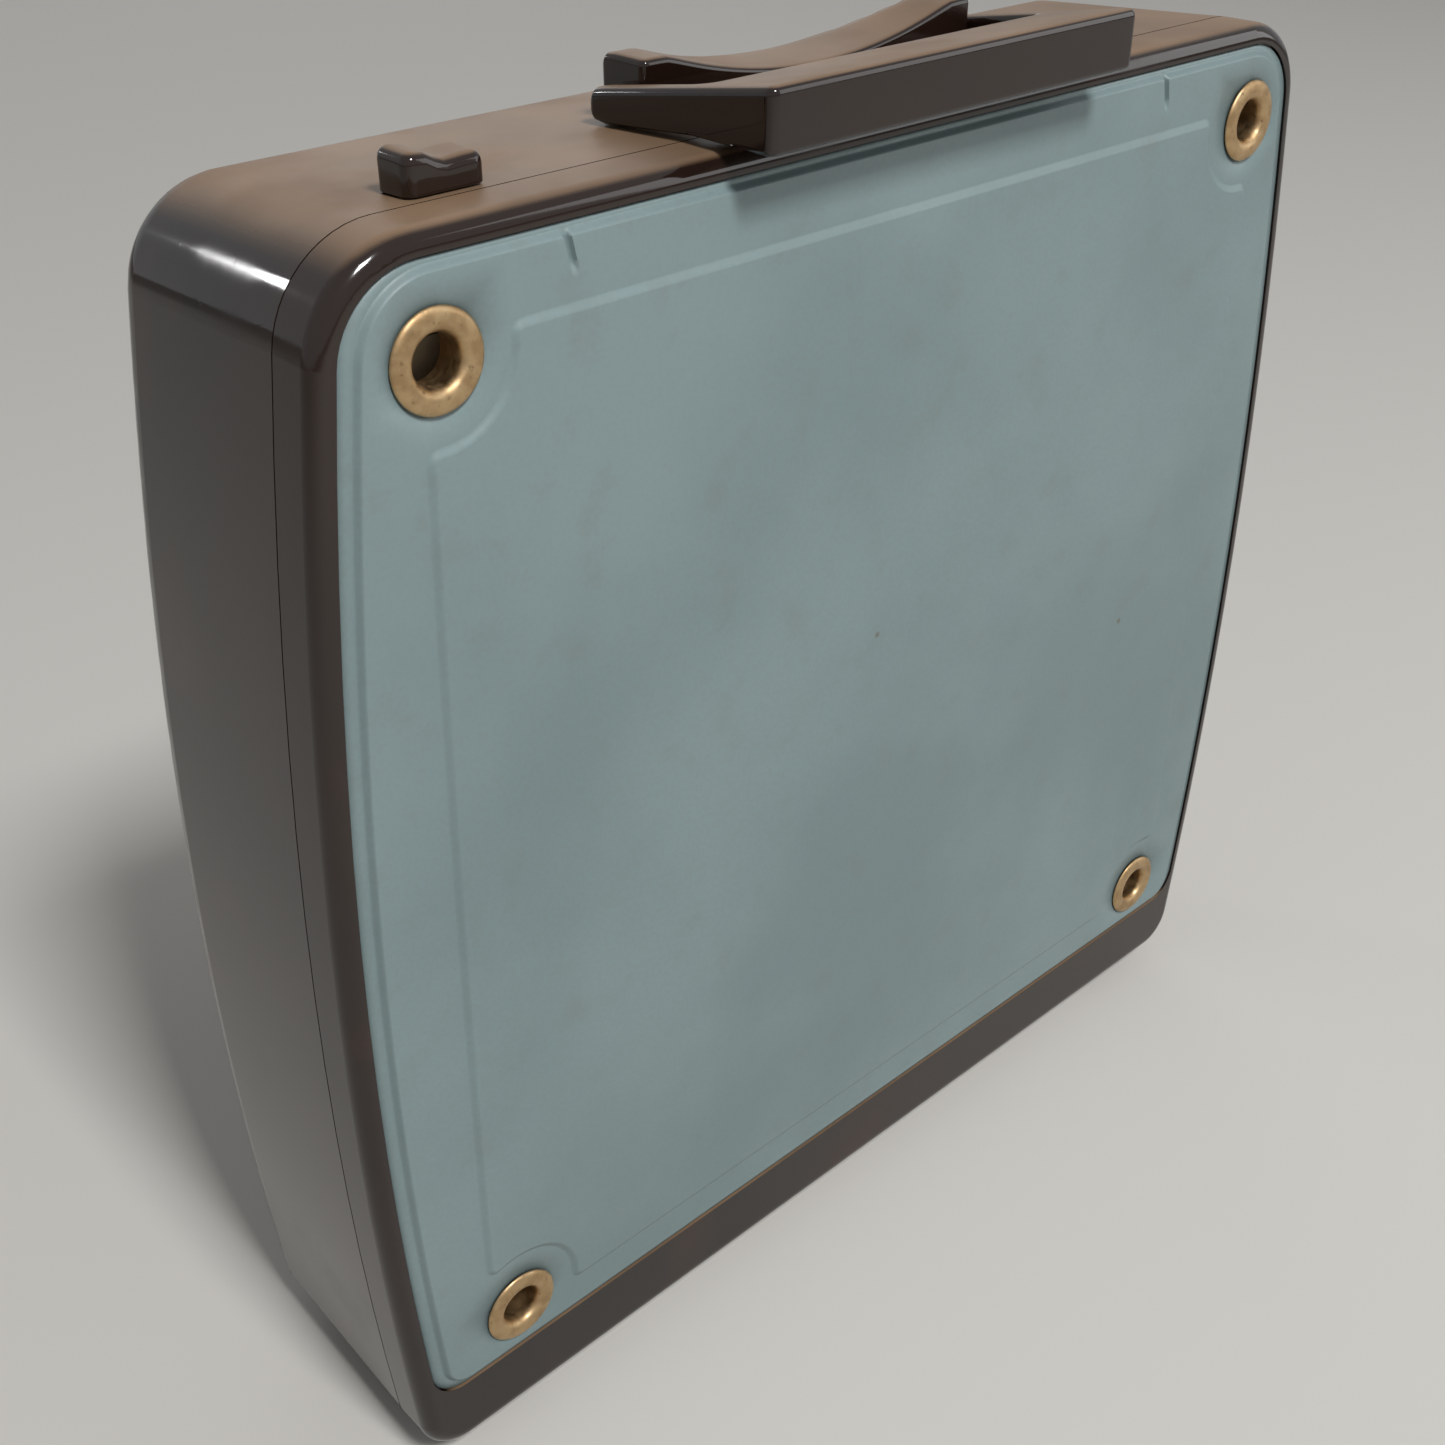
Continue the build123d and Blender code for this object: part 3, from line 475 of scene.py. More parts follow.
def run(start: Vector, end: Vector, out: Vector, pitch: float) -> list[EdgePoint]:
    """Sample a straight run, without its ends.

    Args:
        start: First end.
        end: Last end.
        out: Outward normal.
        pitch: Distance between samples.

    Returns:
        The points between the ends.
    """
    steps = max(1, round((end - start).length / pitch))
    return [EdgePoint(start.lerp(end, i / steps), out) for i in range(1, steps)]


def rounded_polygon(corners: list[tuple[float, float, float]], pitch: float) -> list[EdgePoint]:
    """Sample an anticlockwise polygon with rounded corners.

    Args:
        corners: X, Y and rounding radius of each corner.
        pitch: Distance between samples on the straight runs.

    Returns:
        Points round the outline.
    """
    places = [Vector(corner[:2]) for corner in corners]
    parts = []
    for i, (x, y, radius) in enumerate(corners):
        before = (places[i] - places[i - 1]).normalized()
        after = (places[(i + 1) % len(places)] - places[i]).normalized()
        turn = math.atan2(before.cross(after), before.dot(after))
        inward = Vector((-before.y, before.x)) * math.copysign(1, turn)
        first = places[i] - before * radius * math.tan(abs(turn) / 2)
        centre = first + inward * radius
        start = math.atan2(-inward.y, -inward.x)
        parts.append(arc(centre, radius, start, start + turn, 6, hollow=turn < 0))
    points = []
    for i, part in enumerate(parts):
        following = parts[(i + 1) % len(parts)]
        ahead = (following[0].at - part[-1].at).normalized()
        points += part + run(part[-1].at, following[0].at, Vector((ahead.y, -ahead.x)), pitch)
    return points


def circle_meeting(a: Vector, radius_a: float, b: Vector, radius_b: float, side: float) -> Vector:
    """Find where two circles meet.

    Args:
        a: Centre of the first circle.
        radius_a: Its radius.
        b: Centre of the second circle.
        radius_b: Its radius.
        side: 1 for the meeting point left of the way from a to b, -1 for the one right of it.

    Returns:
        The meeting point.
    """
    span = (b - a).length
    along = (span ** 2 + radius_a ** 2 - radius_b ** 2) / (2 * span)
    across = math.sqrt(radius_a ** 2 - along ** 2)
    ahead = (b - a).normalized()
    return a + ahead * along + Vector((-ahead.y, ahead.x)) * across * side


def inside_loop(x: float, y: float, loop: list[Vector]) -> bool:
    """Whether a point lies inside a closed loop.

    Args:
        x: First coordinate.
        y: Second coordinate.
        loop: Points of the loop.

    Returns:
        True when inside.
    """
    inside = False
    for a, b in zip(loop, loop[1:] + loop[:1]):
        if (a.y > y) != (b.y > y) and x < a.x + (y - a.y) / (b.y - a.y) * (b.x - a.x):
            inside = not inside
    return inside


def grid_inside(loop: list[Vector], pitch: float) -> list[Vector]:
    """Grid of points inside a loop, clear of its edge.

    Args:
        loop: Points of the loop.
        pitch: Grid spacing.

    Returns:
        The grid points.
    """
    low = Vector((min(p.x for p in loop), min(p.y for p in loop)))
    high = Vector((max(p.x for p in loop), max(p.y for p in loop)))
    columns, rows = int((high.x - low.x) / pitch), int((high.y - low.y) / pitch)
    margin = pitch * 0.45
    points = []
    for i in range(columns + 1):
        for j in range(rows + 1):
            x, y = low.x + (i + 0.5) * pitch, low.y + (j + 0.5) * pitch
            around = [(x + dx, y + dy) for dx in (-margin, margin) for dy in (-margin, margin)]
            if all(inside_loop(*place, loop) for place in around):
                points.append(Vector((x, y)))
    return points


def bulged(flat: list[Vector]) -> list[Vector]:
    """Bow straight edges outwards a hair, because points in one line upset the triangulation."""
    middle = sum(flat, Vector((0, 0))) / len(flat)
    moved = [place - middle for place in flat]
    return [Vector((p.x * (1 - BULGE * p.y ** 2), p.y * (1 - BULGE * p.x ** 2))) for p in moved]


def spread(face: list[int], flat: list[Vector]) -> float:
    """Twice the area of a triangle of flat places."""
    a, b, c = (flat[i] for i in face)
    return abs((b - a).cross(c - a))


def connected(faces: list[list[int]], walls: set[frozenset[int]]) -> list[list[list[int]]]:
    """Sort triangles into areas that no wall crosses.

    Args:
        faces: Triangles, as point numbers.
        walls: Edges that part one area from another.

    Returns:
        The triangles of each area.
    """
    beside: dict[frozenset[int], list[int]] = {}
    for number, face in enumerate(faces):
        for i in range(3):
            edge = frozenset((face[i - 1], face[i]))
            if edge not in walls:
                beside.setdefault(edge, []).append(number)
    near: dict[int, list[int]] = {number: [] for number in range(len(faces))}
    for pair in beside.values():
        for number in pair:
            near[number] += pair
    areas, seen = [], set()
    for number in near:
        if number in seen:
            continue
        seen.add(number)
        area, waiting = [], [number]
        while waiting:
            here = waiting.pop()
            area.append(faces[here])
            fresh = [other for other in near[here] if other not in seen]
            seen.update(fresh)
            waiting += fresh
        areas.append(area)
    return areas


def smooth(share: float) -> float:
    """Smooth rise from 0 to 1, clamped."""
    share = min(max(share, 0.0), 1.0)
    return share * share * (3 - 2 * share)


# --- Meshes -------------------------------------------------------------------------------
class MeshMaker:
    """Collects the rings, bands and caps of one mesh, in millimetres."""

    def __init__(self) -> None:
        """Start an empty mesh."""
        self.bm = bmesh.new()

    def ring(self, points: Iterable[Vector]) -> VertRing:
        """Add a ring of points.

        Args:
            points: Places in millimetres.

        Returns:
            The new vertices.
        """
        return [self.bm.verts.new(point * MM) for point in points]

    def band(self, a: VertRing, b: VertRing) -> None:
        """Join two closed rings of equal length with faces.

        Args:
            a: First ring.
            b: Second ring.
        """
        for i in range(len(a)):
            j = (i + 1) % len(a)
            self.bm.faces.new((a[i], a[j], b[j], b[i]))

    def cap(self, rings: list[tuple[VertRing, list[Vector]]], inside: list[Vector], lift: Lift,
            flip: bool = False) -> None:
        """Fill between rings with triangles.

        Args:
            rings: Each ring's vertices with their flat places, the outer ring first.
            inside: Flat places of extra points.
            lift: Place in space of a flat place.
            flip: Whether to turn the faces over.
        """
        flat, edges, verts = [], [], []
        for ring, places in rings:
            start = len(flat)
            edges += [(start + i, start + (i + 1) % len(ring)) for i in range(len(ring))]
            flat += places
            verts += ring
        flat += inside
        verts += self.ring(lift(*place) for place in inside)
        _, _, faces, sources, _, _ = delaunay_2d_cdt(bulged(flat), edges, [], 0, 1e-7)
        faces = [[sources[i][0] for i in face] for face in faces]
        loops = [places for _, places in rings]
        for area in connected(faces, {frozenset(edge) for edge in edges}):
            largest = max(area, key=lambda face: spread(face, flat))
            middle = sum((flat[i] for i in largest), Vector((0, 0))) / 3
            if not inside_loop(*middle, loops[0]):
                continue
            if any(inside_loop(*middle, hole) for hole in loops[1:]):
                continue
            for face in area:
                corners = [verts[i] for i in face]
                self.bm.faces.new(corners[::-1] if flip else corners)

    def lathe(self, profile: list[Vector], centre: Vector, steps: int) -> None:
        """Turn a closed profile about an axis along Y.

        Args:
            profile: Radius and Y of each point, going round the section.
            centre: X and Z of the axis.
            steps: Points round each ring.
        """
        rings = []
        for radius, y in profile:
            angles = [math.tau * i / steps for i in range(steps)]
            rings.append(self.ring(Vector((centre.x + radius * math.cos(a), y,
                                           centre.y + radius * math.sin(a))) for a in angles))
        for a, b in zip(rings, rings[1:] + rings[:1]):
            self.band(a, b)

    def make(self, name: str, sharp_degrees: float = 40.0) -> bpy.types.Object:
        """Turn the mesh into a smooth-shaded object.

        Args:
            name: Piece name.
            sharp_degrees: Edges turned by more than this stay crisp.

        Returns:
            The object.
        """
        bmesh.ops.recalc_face_normals(self.bm, faces=self.bm.faces)
        mesh = bpy.data.meshes.new(name)
        self.bm.to_mesh(mesh)
        self.bm.free()
        mesh.shade_smooth()
        mesh.set_sharp_from_angle(angle=math.radians(sharp_degrees))
        piece = bpy.data.objects.new(name, mesh)
        bpy.context.scene.collection.objects.link(piece)
        weighted = piece.modifiers.new("weighted_normals", "WEIGHTED_NORMAL")
        weighted.keep_sharp = True
        return piece


ROUNDING = [0.0, 0.08, 0.22, 0.42, 0.68, 1.0]   # shares of an edge radius where rings go


@dataclass
class SoftBlock:
    """Moulded block with an upright wall and rounded upper and lower edges."""

    plan: list[EdgePoint]
    top: Height
    bottom: Height
    top_edge: float
    bottom_edge: float = 0.0
    pitch: float = 1.5

    def add_to(self, maker: MeshMaker) -> None:
        """Add the block to a mesh.

        Args:
            maker: The mesh.
        """
        lower = self.edge_rings(maker, self.bottom, self.bottom_edge, 1.0)[::-1]
        upper = self.edge_rings(maker, self.top, self.top_edge, -1.0)
        rings = lower + upper
        for (a, _), (b, _) in zip(rings, rings[1:]):
            maker.band(a, b)
        for (ring, places), height, flip in ((upper[-1], self.top, False),
                                             (lower[0], self.bottom, True)):
            maker.cap([(ring, places)], grid_inside(places, self.pitch),
                      lambda x, y, height=height: Vector((x, y, height(x, y))), flip)

    def edge_rings(self, maker: MeshMaker, height: Height, radius: float,
                   sign: float) -> list[tuple[VertRing, list[Vector]]]:
        """Add the rings of one rounded edge, from the wall inwards.

        Args:
            maker: The mesh.
            height: Height of the face that the edge leads to.
            radius: Radius of the edge.
            sign: 1 for a lower edge and -1 for an upper one.

        Returns:
            Each ring's vertices with their flat places.
        """
        rings = []
        for share in ROUNDING if radius else [0.0]:
            inset = radius * share
            drop = radius - math.sqrt(radius ** 2 - (radius - inset) ** 2)
            places = [point.moved(-inset) for point in self.plan]
            ring = maker.ring(Vector((p.x, p.y, height(p.x, p.y) + sign * drop)) for p in places)
            rings.append((ring, places))
        return rings


# --- Sub-assemblies -----------------------------------------------------------------------
@dataclass
class SubAssembly:
    """Group of pieces of the box that one class builds and dresses."""

    palette: Palette
    nodes: dict[str, bpy.types.Object]

    def dress_nodes(self, finish: Finish, names: Iterable[str]) -> None:
        """Give frame nodes a finish.

        Args:
            finish: Which finish.
            names: Node names.
        """
        for name in names:
            self.palette.paint(self.nodes[name], finish)
            LOG.info("dressed %s in %s", name, finish.name.lower())

    def place(self, piece: bpy.types.Object, body: str, finish: Finish, node: str) -> None:
        """Dress a new piece, fix it to its body and let it stand for a node.

        Args:
            piece: The piece.
            body: Body that it moves with.
            finish: Its finish.
            node: Node that it stands for.
        """
        self.palette.paint(piece, finish)
        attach(piece, body)
        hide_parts(node)
        LOG.info("built %s with %d faces", piece.name, len(piece.data.polygons))


@dataclass
class Bow:
    """Bowed outline of the case and lid, seen from the front."""

    widest_half: float = 123.8
    side_radius: float = 900.0
    widest_z: float = 102.0

    @property
    def centre_x(self) -> float:
        """X of the centre of the right side's arc."""
        return self.widest_half - self.side_radius

    def corner(self, inset: float, z: float, radius: float, sign: float) -> tuple[Vector, float]:
        """Place a corner's rounding.

        Args:
            inset: How far the side is moved in.
            z: Height of the level edge.
            radius: Corner radius.
            sign: 1 for the top corner and -1 for the bottom one.

        Returns:
            Centre of the right corner's arc, and the angle where it meets the side.
        """
        rise = z - sign * radius - self.widest_z
        reach = math.sqrt((self.side_radius - inset - radius) ** 2 - rise ** 2)
        return Vector((self.centre_x + reach, rise + self.widest_z)), math.atan2(rise, reach)

    def loop(self, inset: float, bottom: float, top: float, bottom_r: float, top_r: float,
             top_xs: list[float]) -> list[Vector]:
        """Sample the whole outline, with the same number of points whatever the sizes.

        Args:
            inset: How far the sides are moved in.
            bottom: Height of the bottom edge.
            top: Height of the top edge.
            bottom_r: Radius of the bottom corners.
            top_r: Radius of the top corners.
            top_xs: X of the points on the top edge, from right to left.

        Returns:
            X and Z of each point, anticlockwise from the bottom's middle.
        """
        low_centre, low_angle = self.corner(inset, bottom, bottom_r, -1)
        high_centre, high_angle = self.corner(inset, top, top_r, 1)
        flat = [Vector((low_centre.x * i / 20, bottom)) for i in range(20)]
        side = arc(Vector((self.centre_x, self.widest_z)), self.side_radius - inset,
                   low_angle, high_angle, 90)
        right = flat + [p.at for p in arc(low_centre, bottom_r, -math.pi / 2, low_angle, 10)]
        right += [p.at for p in side[1:-1]]
        right += [p.at for p in arc(high_centre, top_r, high_angle, math.pi / 2, 14)]
        mirrored = [Vector((-p.x, p.y)) for p in right[::-1]]
        return right + [Vector((x, top)) for x in top_xs] + mirrored[:-1]


@dataclass
class FrontPanel(SubAssembly):
    """Pressed steel front: flange, raised border, higher field notched round the eyelets."""

    bow: Bow = field(default_factory=Bow)
    sheet: float = 0.6
    flange_inset: float = 3.9
    flange_bottom: float = 16.2
    flange_top_r: float = 13.8
    flange_bottom_r: float = 7.0
    border_inset: float = 7.2
    border_top_inset: float = 5.8
    border_bottom: float = 18.4
    step_width: float = 1.2
    border_rise: float = 1.2
    field_rise: float = 0.7
    field_slope: float = 1.6
    field_corner_r: float = 0.9
    field_top_drop: float = 15.0
    field_bottom_rise: float = 25.2
    field_top_inset: float = 24.2
    field_bottom_inset: float = 19.8
    field_mid_bow: float = 1.0
    notch_r: float = 12.4
    hole_r: float = 5.1
    nick_width: float = 1.0
    nick_length: float = 5.6
    nick_depth: float = 1.0
    nick_lean: float = 0.22        # sideways drift of a nick for each millimetre down
    crown: float = 0.35            # middle of the field stands proud of its edge

    def build(self, eyelets: list[Vector], nicks: tuple[float, ...]) -> None:
        """Build the panel.

        Args:
            eyelets: X and Z of each eyelet.
            nicks: X of the two pressed nicks in the top border.
        """
        low, high = (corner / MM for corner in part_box("lid_shell"))
        self.bottom, self.top = low.z, high.z
        panel_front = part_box("front_panel")[0].y / MM
        self.border_y = panel_front + self.field_rise
        self.flange_y = self.border_y + self.border_rise
        self.nicks = nicks
        self.top_xs = self.top_edge_places()
        maker = MeshMaker()
        flange = self.flange_ring(maker)
        border, border_flat = self.step_rings(maker, flange)
        foot, foot_flat = self.field_rings(maker, eyelets)
        holes = [self.hole(maker, eyelet) for eyelet in eyelets]
        maker.cap([(border, border_flat), (foot, foot_flat)] + holes, self.nick_points(),
                  lambda x, z: Vector((x, self.border_y + self.groove(x, z), z)))
        panel = maker.make("pressed_front_panel", 60.0)
        thickness = panel.modifiers.new("sheet", "SOLIDIFY")
        thickness.thickness = self.sheet * MM
        thickness.offset = -1.0
        self.place(panel, "lid", Finish.ENAMEL, "front_panel")

    def top_edge_places(self) -> list[float]:
        """X of the points on the top edges: evenly spread, and close together at each nick."""
        even = [x * 4.0 for x in range(-21, 22)]
        near = [nick + self.nick_width * k / 4 for nick in self.nicks for k in range(-6, 7)]
        kept = [x for x in even
                if all(abs(x - nick) > 2.5 * self.nick_width for nick in self.nicks)]
        return sorted(kept + near, reverse=True)

    def groove(self, x: float, z: float) -> float:
        """How deep a nick is at a place.

        Args:
            x: X of the place.
            z: Z of the place.

        Returns:
            Depth below the border's face.
        """
        below = self.top - self.border_top_inset - z
        depth = 0.0
        for nick in self.nicks:
            across = abs(x - nick - self.nick_lean * max(below, 0.0)) / (self.nick_width / 2)
            along = smooth((self.nick_length - below) / 2.0)
            depth += self.nick_depth * smooth(1.6 - across) * along
        return depth

    def nick_points(self) -> list[Vector]:
        """Extra points in and beside each nick, so that its walls keep their shape."""
        points = []
        for nick in self.nicks:
            for row in range(1, 12):
                below = row * 0.55
                centre = nick + self.nick_lean * below
                points += [Vector((centre + self.nick_width * k / 4,
                                   self.top - self.border_top_inset - below)) for k in range(-5, 6)]
        return points

    def flange_ring(self, maker: MeshMaker) -> VertRing:
        """Add the flange's outer edge and return its ring."""
        flat = self.bow.loop(self.flange_inset, self.bottom + self.flange_bottom,
                             self.top - self.flange_inset, self.flange_bottom_r, self.flange_top_r,
                             self.top_xs)
        return maker.ring(Vector((p.x, self.flange_y, p.y)) for p in flat)

    def step_rings(self, maker: MeshMaker, flange: VertRing) -> tuple[VertRing, list[Vector]]:
        """Add the step from the flange up to the border.

        Args:
            maker: The mesh.
            flange: Ring of the flange's outer edge.

        Returns:
            The ring at the border's edge, with its flat places.
        """
        corner_top = self.flange_top_r - (self.border_top_inset - self.flange_inset)
        corner_bottom = self.flange_bottom_r - (self.border_bottom - self.flange_bottom)
        previous, flat, steps = flange, [], 9
        for i in range(steps):
            grow = self.step_width * (1 - i / (steps - 1))
            flat = self.bow.loop(self.border_inset - grow, self.bottom + self.border_bottom - grow,
                                 self.top - self.border_top_inset + grow, corner_bottom + grow,
                                 corner_top + grow, self.top_xs)
            rise = self.border_rise * smooth(i / (steps - 1))
            ring = maker.ring(Vector((p.x, self.flange_y - rise + self.step_groove(p, rise), p.y))
                              for p in flat)
            maker.band(previous, ring)
            previous = ring
        return previous, flat

    def step_groove(self, place: Vector, rise: float) -> float:
        """Depth of a nick where it cuts the step, which is less than the step is high there.

        Args:
            place: X and Z.
            rise: How high the step is there.

        Returns:
            Depth below the step's own face.
        """
        if place.y < self.top - self.border_top_inset - 1:
            return 0.0
        return self.groove(place.x, place.y) * rise / self.border_rise

    def field_rings(self, maker: MeshMaker, eyelets: list[Vector]) -> tuple[VertRing, list[Vector]]:
        """Add the field and the slope round it.

        Args:
            maker: The mesh.
            eyelets: X and Z of each eyelet.

        Returns:
            The ring at the slope's foot, with its flat places.
        """
        edge = self.field_edge(eyelets)
        steps, rings = 10, []
        for i in range(steps):
            places = [p.moved(self.field_slope * (1 - i / (steps - 1))) for p in edge]
            y = self.border_y - self.field_rise * smooth(i / (steps - 1))
            rings.append((maker.ring(Vector((p.x, y, p.y)) for p in places), places))
        for (a, _), (b, _) in zip(rings, rings[1:]):
            maker.band(a, b)
        maker.cap([rings[-1]], grid_inside(rings[-1][1], 7.0), self.field_face)
        return rings[0]

    def field_face(self, x: float, z: float) -> Vector:
        """Place on the field's face, which is a little crowned and uneven like real sheet.

        Args:
            x: X of the place.
            z: Z of the place.

        Returns:
            The place in space.
        """
        middle = (self.top + self.bottom) / 2 + 5
        across, along = x / 100, (z - middle) / 96
        dome = max(0.0, 1 - across ** 2) * max(0.0, 1 - along ** 2)
        wave = 0.05 * math.sin(x / 21) * math.sin(z / 27 + 1) + 0.03 * math.sin(x / 11 + z / 14)
        rise = self.field_rise + (self.crown + wave) * min(1.0, dome * 1.6)
        return Vector((x, self.border_y - rise, z))

    def field_edge(self, eyelets: list[Vector]) -> list[EdgePoint]:
        """Sample the edge of the field's face, with a notch round each eyelet.

        Args:
            eyelets: X and Z of each eyelet.

        Returns:
            Points anticlockwise from the bottom's middle.
        """
        slope, r = self.field_slope, self.field_corner_r
        low = self.bottom + self.field_bottom_rise + slope
        high = self.top - self.field_top_drop - slope
        half_low = self.bow.widest_half - self.field_bottom_inset - slope
        half_high = self.bow.widest_half - self.field_top_inset - slope
        middle = Vector(((half_low + half_high) / 2 + self.field_mid_bow, (low + high) / 2))
        side_centre, side_r = circle_through(Vector((half_low, low)), middle,
                                             Vector((half_high, high)))
        notch = self.notch_r + slope
        right_low = min((e for e in eyelets if e.x > 0), key=lambda e: e.y)
        right_high = max((e for e in eyelets if e.x > 0), key=lambda e: e.y)
        points = [EdgePoint(Vector((0, low)), Vector((0, -1)))]
        # Each notch: rounding, hollow arc, rounding. Roundings touch the level edge and the side.
        rise = low + r - right_low.y
        level = Vector((right_low.x - math.sqrt((notch + r) ** 2 - rise ** 2), low + r))
        upright = circle_meeting(side_centre, side_r - r, right_low, notch + r, 1)
        points += run(points[0].at, Vector((level.x, low)), Vector((0, -1)), 6.0)
        points += arc(level, r, -math.pi / 2, angle_to(level, right_low), 5)
        points += arc(right_low, notch, angle_to(right_low, level),
                      angle_to(right_low, upright), 16, True)
        start = angle_to(upright, right_low)
        points += arc(upright, r, start, angle_to(side_centre, upright), 5)
        # The side's own arc, then the top notch.
        top_upright = circle_meeting(side_centre, side_r - r, right_high, notch + r, -1)
        fall = high - r - right_high.y
        top_level = Vector((right_high.x - math.sqrt((notch + r) ** 2 - fall ** 2), high - r))
        points += arc(side_centre, side_r, angle_to(side_centre, upright),
                      angle_to(side_centre, top_upright), 60)[1:-1]
        points += arc(top_upright, r, angle_to(side_centre, top_upright),
                      angle_to(top_upright, right_high), 5)
        points += arc(right_high, notch, angle_to(right_high, top_upright),
                      angle_to(right_high, top_level), 16, True)
        points += arc(top_level, r, angle_to(top_level, right_high), math.pi / 2, 5)
        points += run(Vector((top_level.x, high)), Vector((0, high)), Vector((0, 1)), 6.0)
        points = merged(points)
        mirrored = [EdgePoint(Vector((-p.at.x, p.at.y)), Vector((-p.out.x, p.out.y)))
                    for p in points[:0:-1]]
        return points + [EdgePoint(Vector((0, high)), Vector((0, 1)))] + mirrored

    def hole(self, maker: MeshMaker, centre: Vector) -> tuple[VertRing, list[Vector]]:
        """Add an eyelet's hole.

        Args:
            maker: The mesh.
            centre: X and Z of the eyelet.

        Returns:
            The hole's ring, with its flat places.
        """
        places = [p.at for p in arc(centre, self.hole_r, 0, math.tau, 32)[:-1]]
        return maker.ring(Vector((p.x, self.border_y, p.y)) for p in places), places


def circle_through(a: Vector, b: Vector, c: Vector) -> tuple[Vector, float]:
    """Find the circle through three points.

    Args:
        a: First point.
        b: Second point.
        c: Third point.

    Returns:
        Centre and radius.
    """
    d = 2 * (a.x * (b.y - c.y) + b.x * (c.y - a.y) + c.x * (a.y - b.y))
    sa, sb, sc = a.length_squared, b.length_squared, c.length_squared
    centre = Vector(((sa * (b.y - c.y) + sb * (c.y - a.y) + sc * (a.y - b.y)) / d,
                     (sa * (c.x - b.x) + sb * (a.x - c.x) + sc * (b.x - a.x)) / d))
    return centre, (a - centre).length


def angle_to(start: Vector, end: Vector) -> float:
    """Angle of the way from one point to another."""
    return math.atan2(end.y - start.y, end.x - start.x)


def merged(points: list[EdgePoint]) -> list[EdgePoint]:
    """Drop points that repeat the one before."""
    kept = points[:1]
    for point in points[1:]:
        if (point.at - kept[-1].at).length > 1e-4:
            kept.append(point)
    return kept


@dataclass
class Eyelets(SubAssembly):
    """Hollow brass eyelets: rolled crown outside, flared bore, rolled end inside the lid."""

    head_r: float = 7.76
    bore_r: float = 4.3
    neck_r: float = 3.9            # the throat is rolled in a little
    barrel_r: float = 5.0
    head: float = 1.2
    steps: int = 64

    def build(self, eyelets: list[Vector]) -> None:
        """Build the four eyelets.

        Args:
            eyelets: X and Z of each eyelet.
        """
        low, high = (corner.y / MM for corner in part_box("panel_eyelets"))
        face = low + self.head
        roll = self.barrel_r + 1.4
        profile = [(self.bore_r, high - 0.3), (self.bore_r, face + 2.4), (self.neck_r, face + 1.7),
                   (self.neck_r, face + 0.5), (self.neck_r + 0.12, face - 0.1),
                   (self.neck_r + 0.36, face - 0.55), (self.neck_r + 0.74, low + 0.26),
                   (self.neck_r + 1.2, low + 0.07), (self.neck_r + 1.7, low),
                   (self.neck_r + 2.3, low + 0.02), (self.head_r - 0.90, low + 0.13),
                   (self.head_r - 0.55, low + 0.26), (self.head_r - 0.22, low + 0.47),
                   (self.head_r - 0.03, low + 0.74), (self.head_r - 0.04, low + 0.90),
                   (self.head_r - 0.22, low + 0.98), (self.head_r - 1.1, face - 0.04),
                   (self.barrel_r + 0.06, face - 0.02), (self.barrel_r, face + 0.2),
                   (self.barrel_r, high - 1.0), (roll - 0.6, high - 0.9), (roll - 0.1, high - 0.7),
                   (roll, high - 0.4), (roll - 0.3, high - 0.1), (roll - 0.9, high),
                   (self.bore_r + 0.4, high - 0.05)]
        maker = MeshMaker()
        for centre in eyelets:
            maker.lathe([Vector(point) for point in profile], centre, self.steps)
        self.place(maker.make("brass_eyelets", 75.0), "lid", Finish.BRASS, "panel_eyelets")


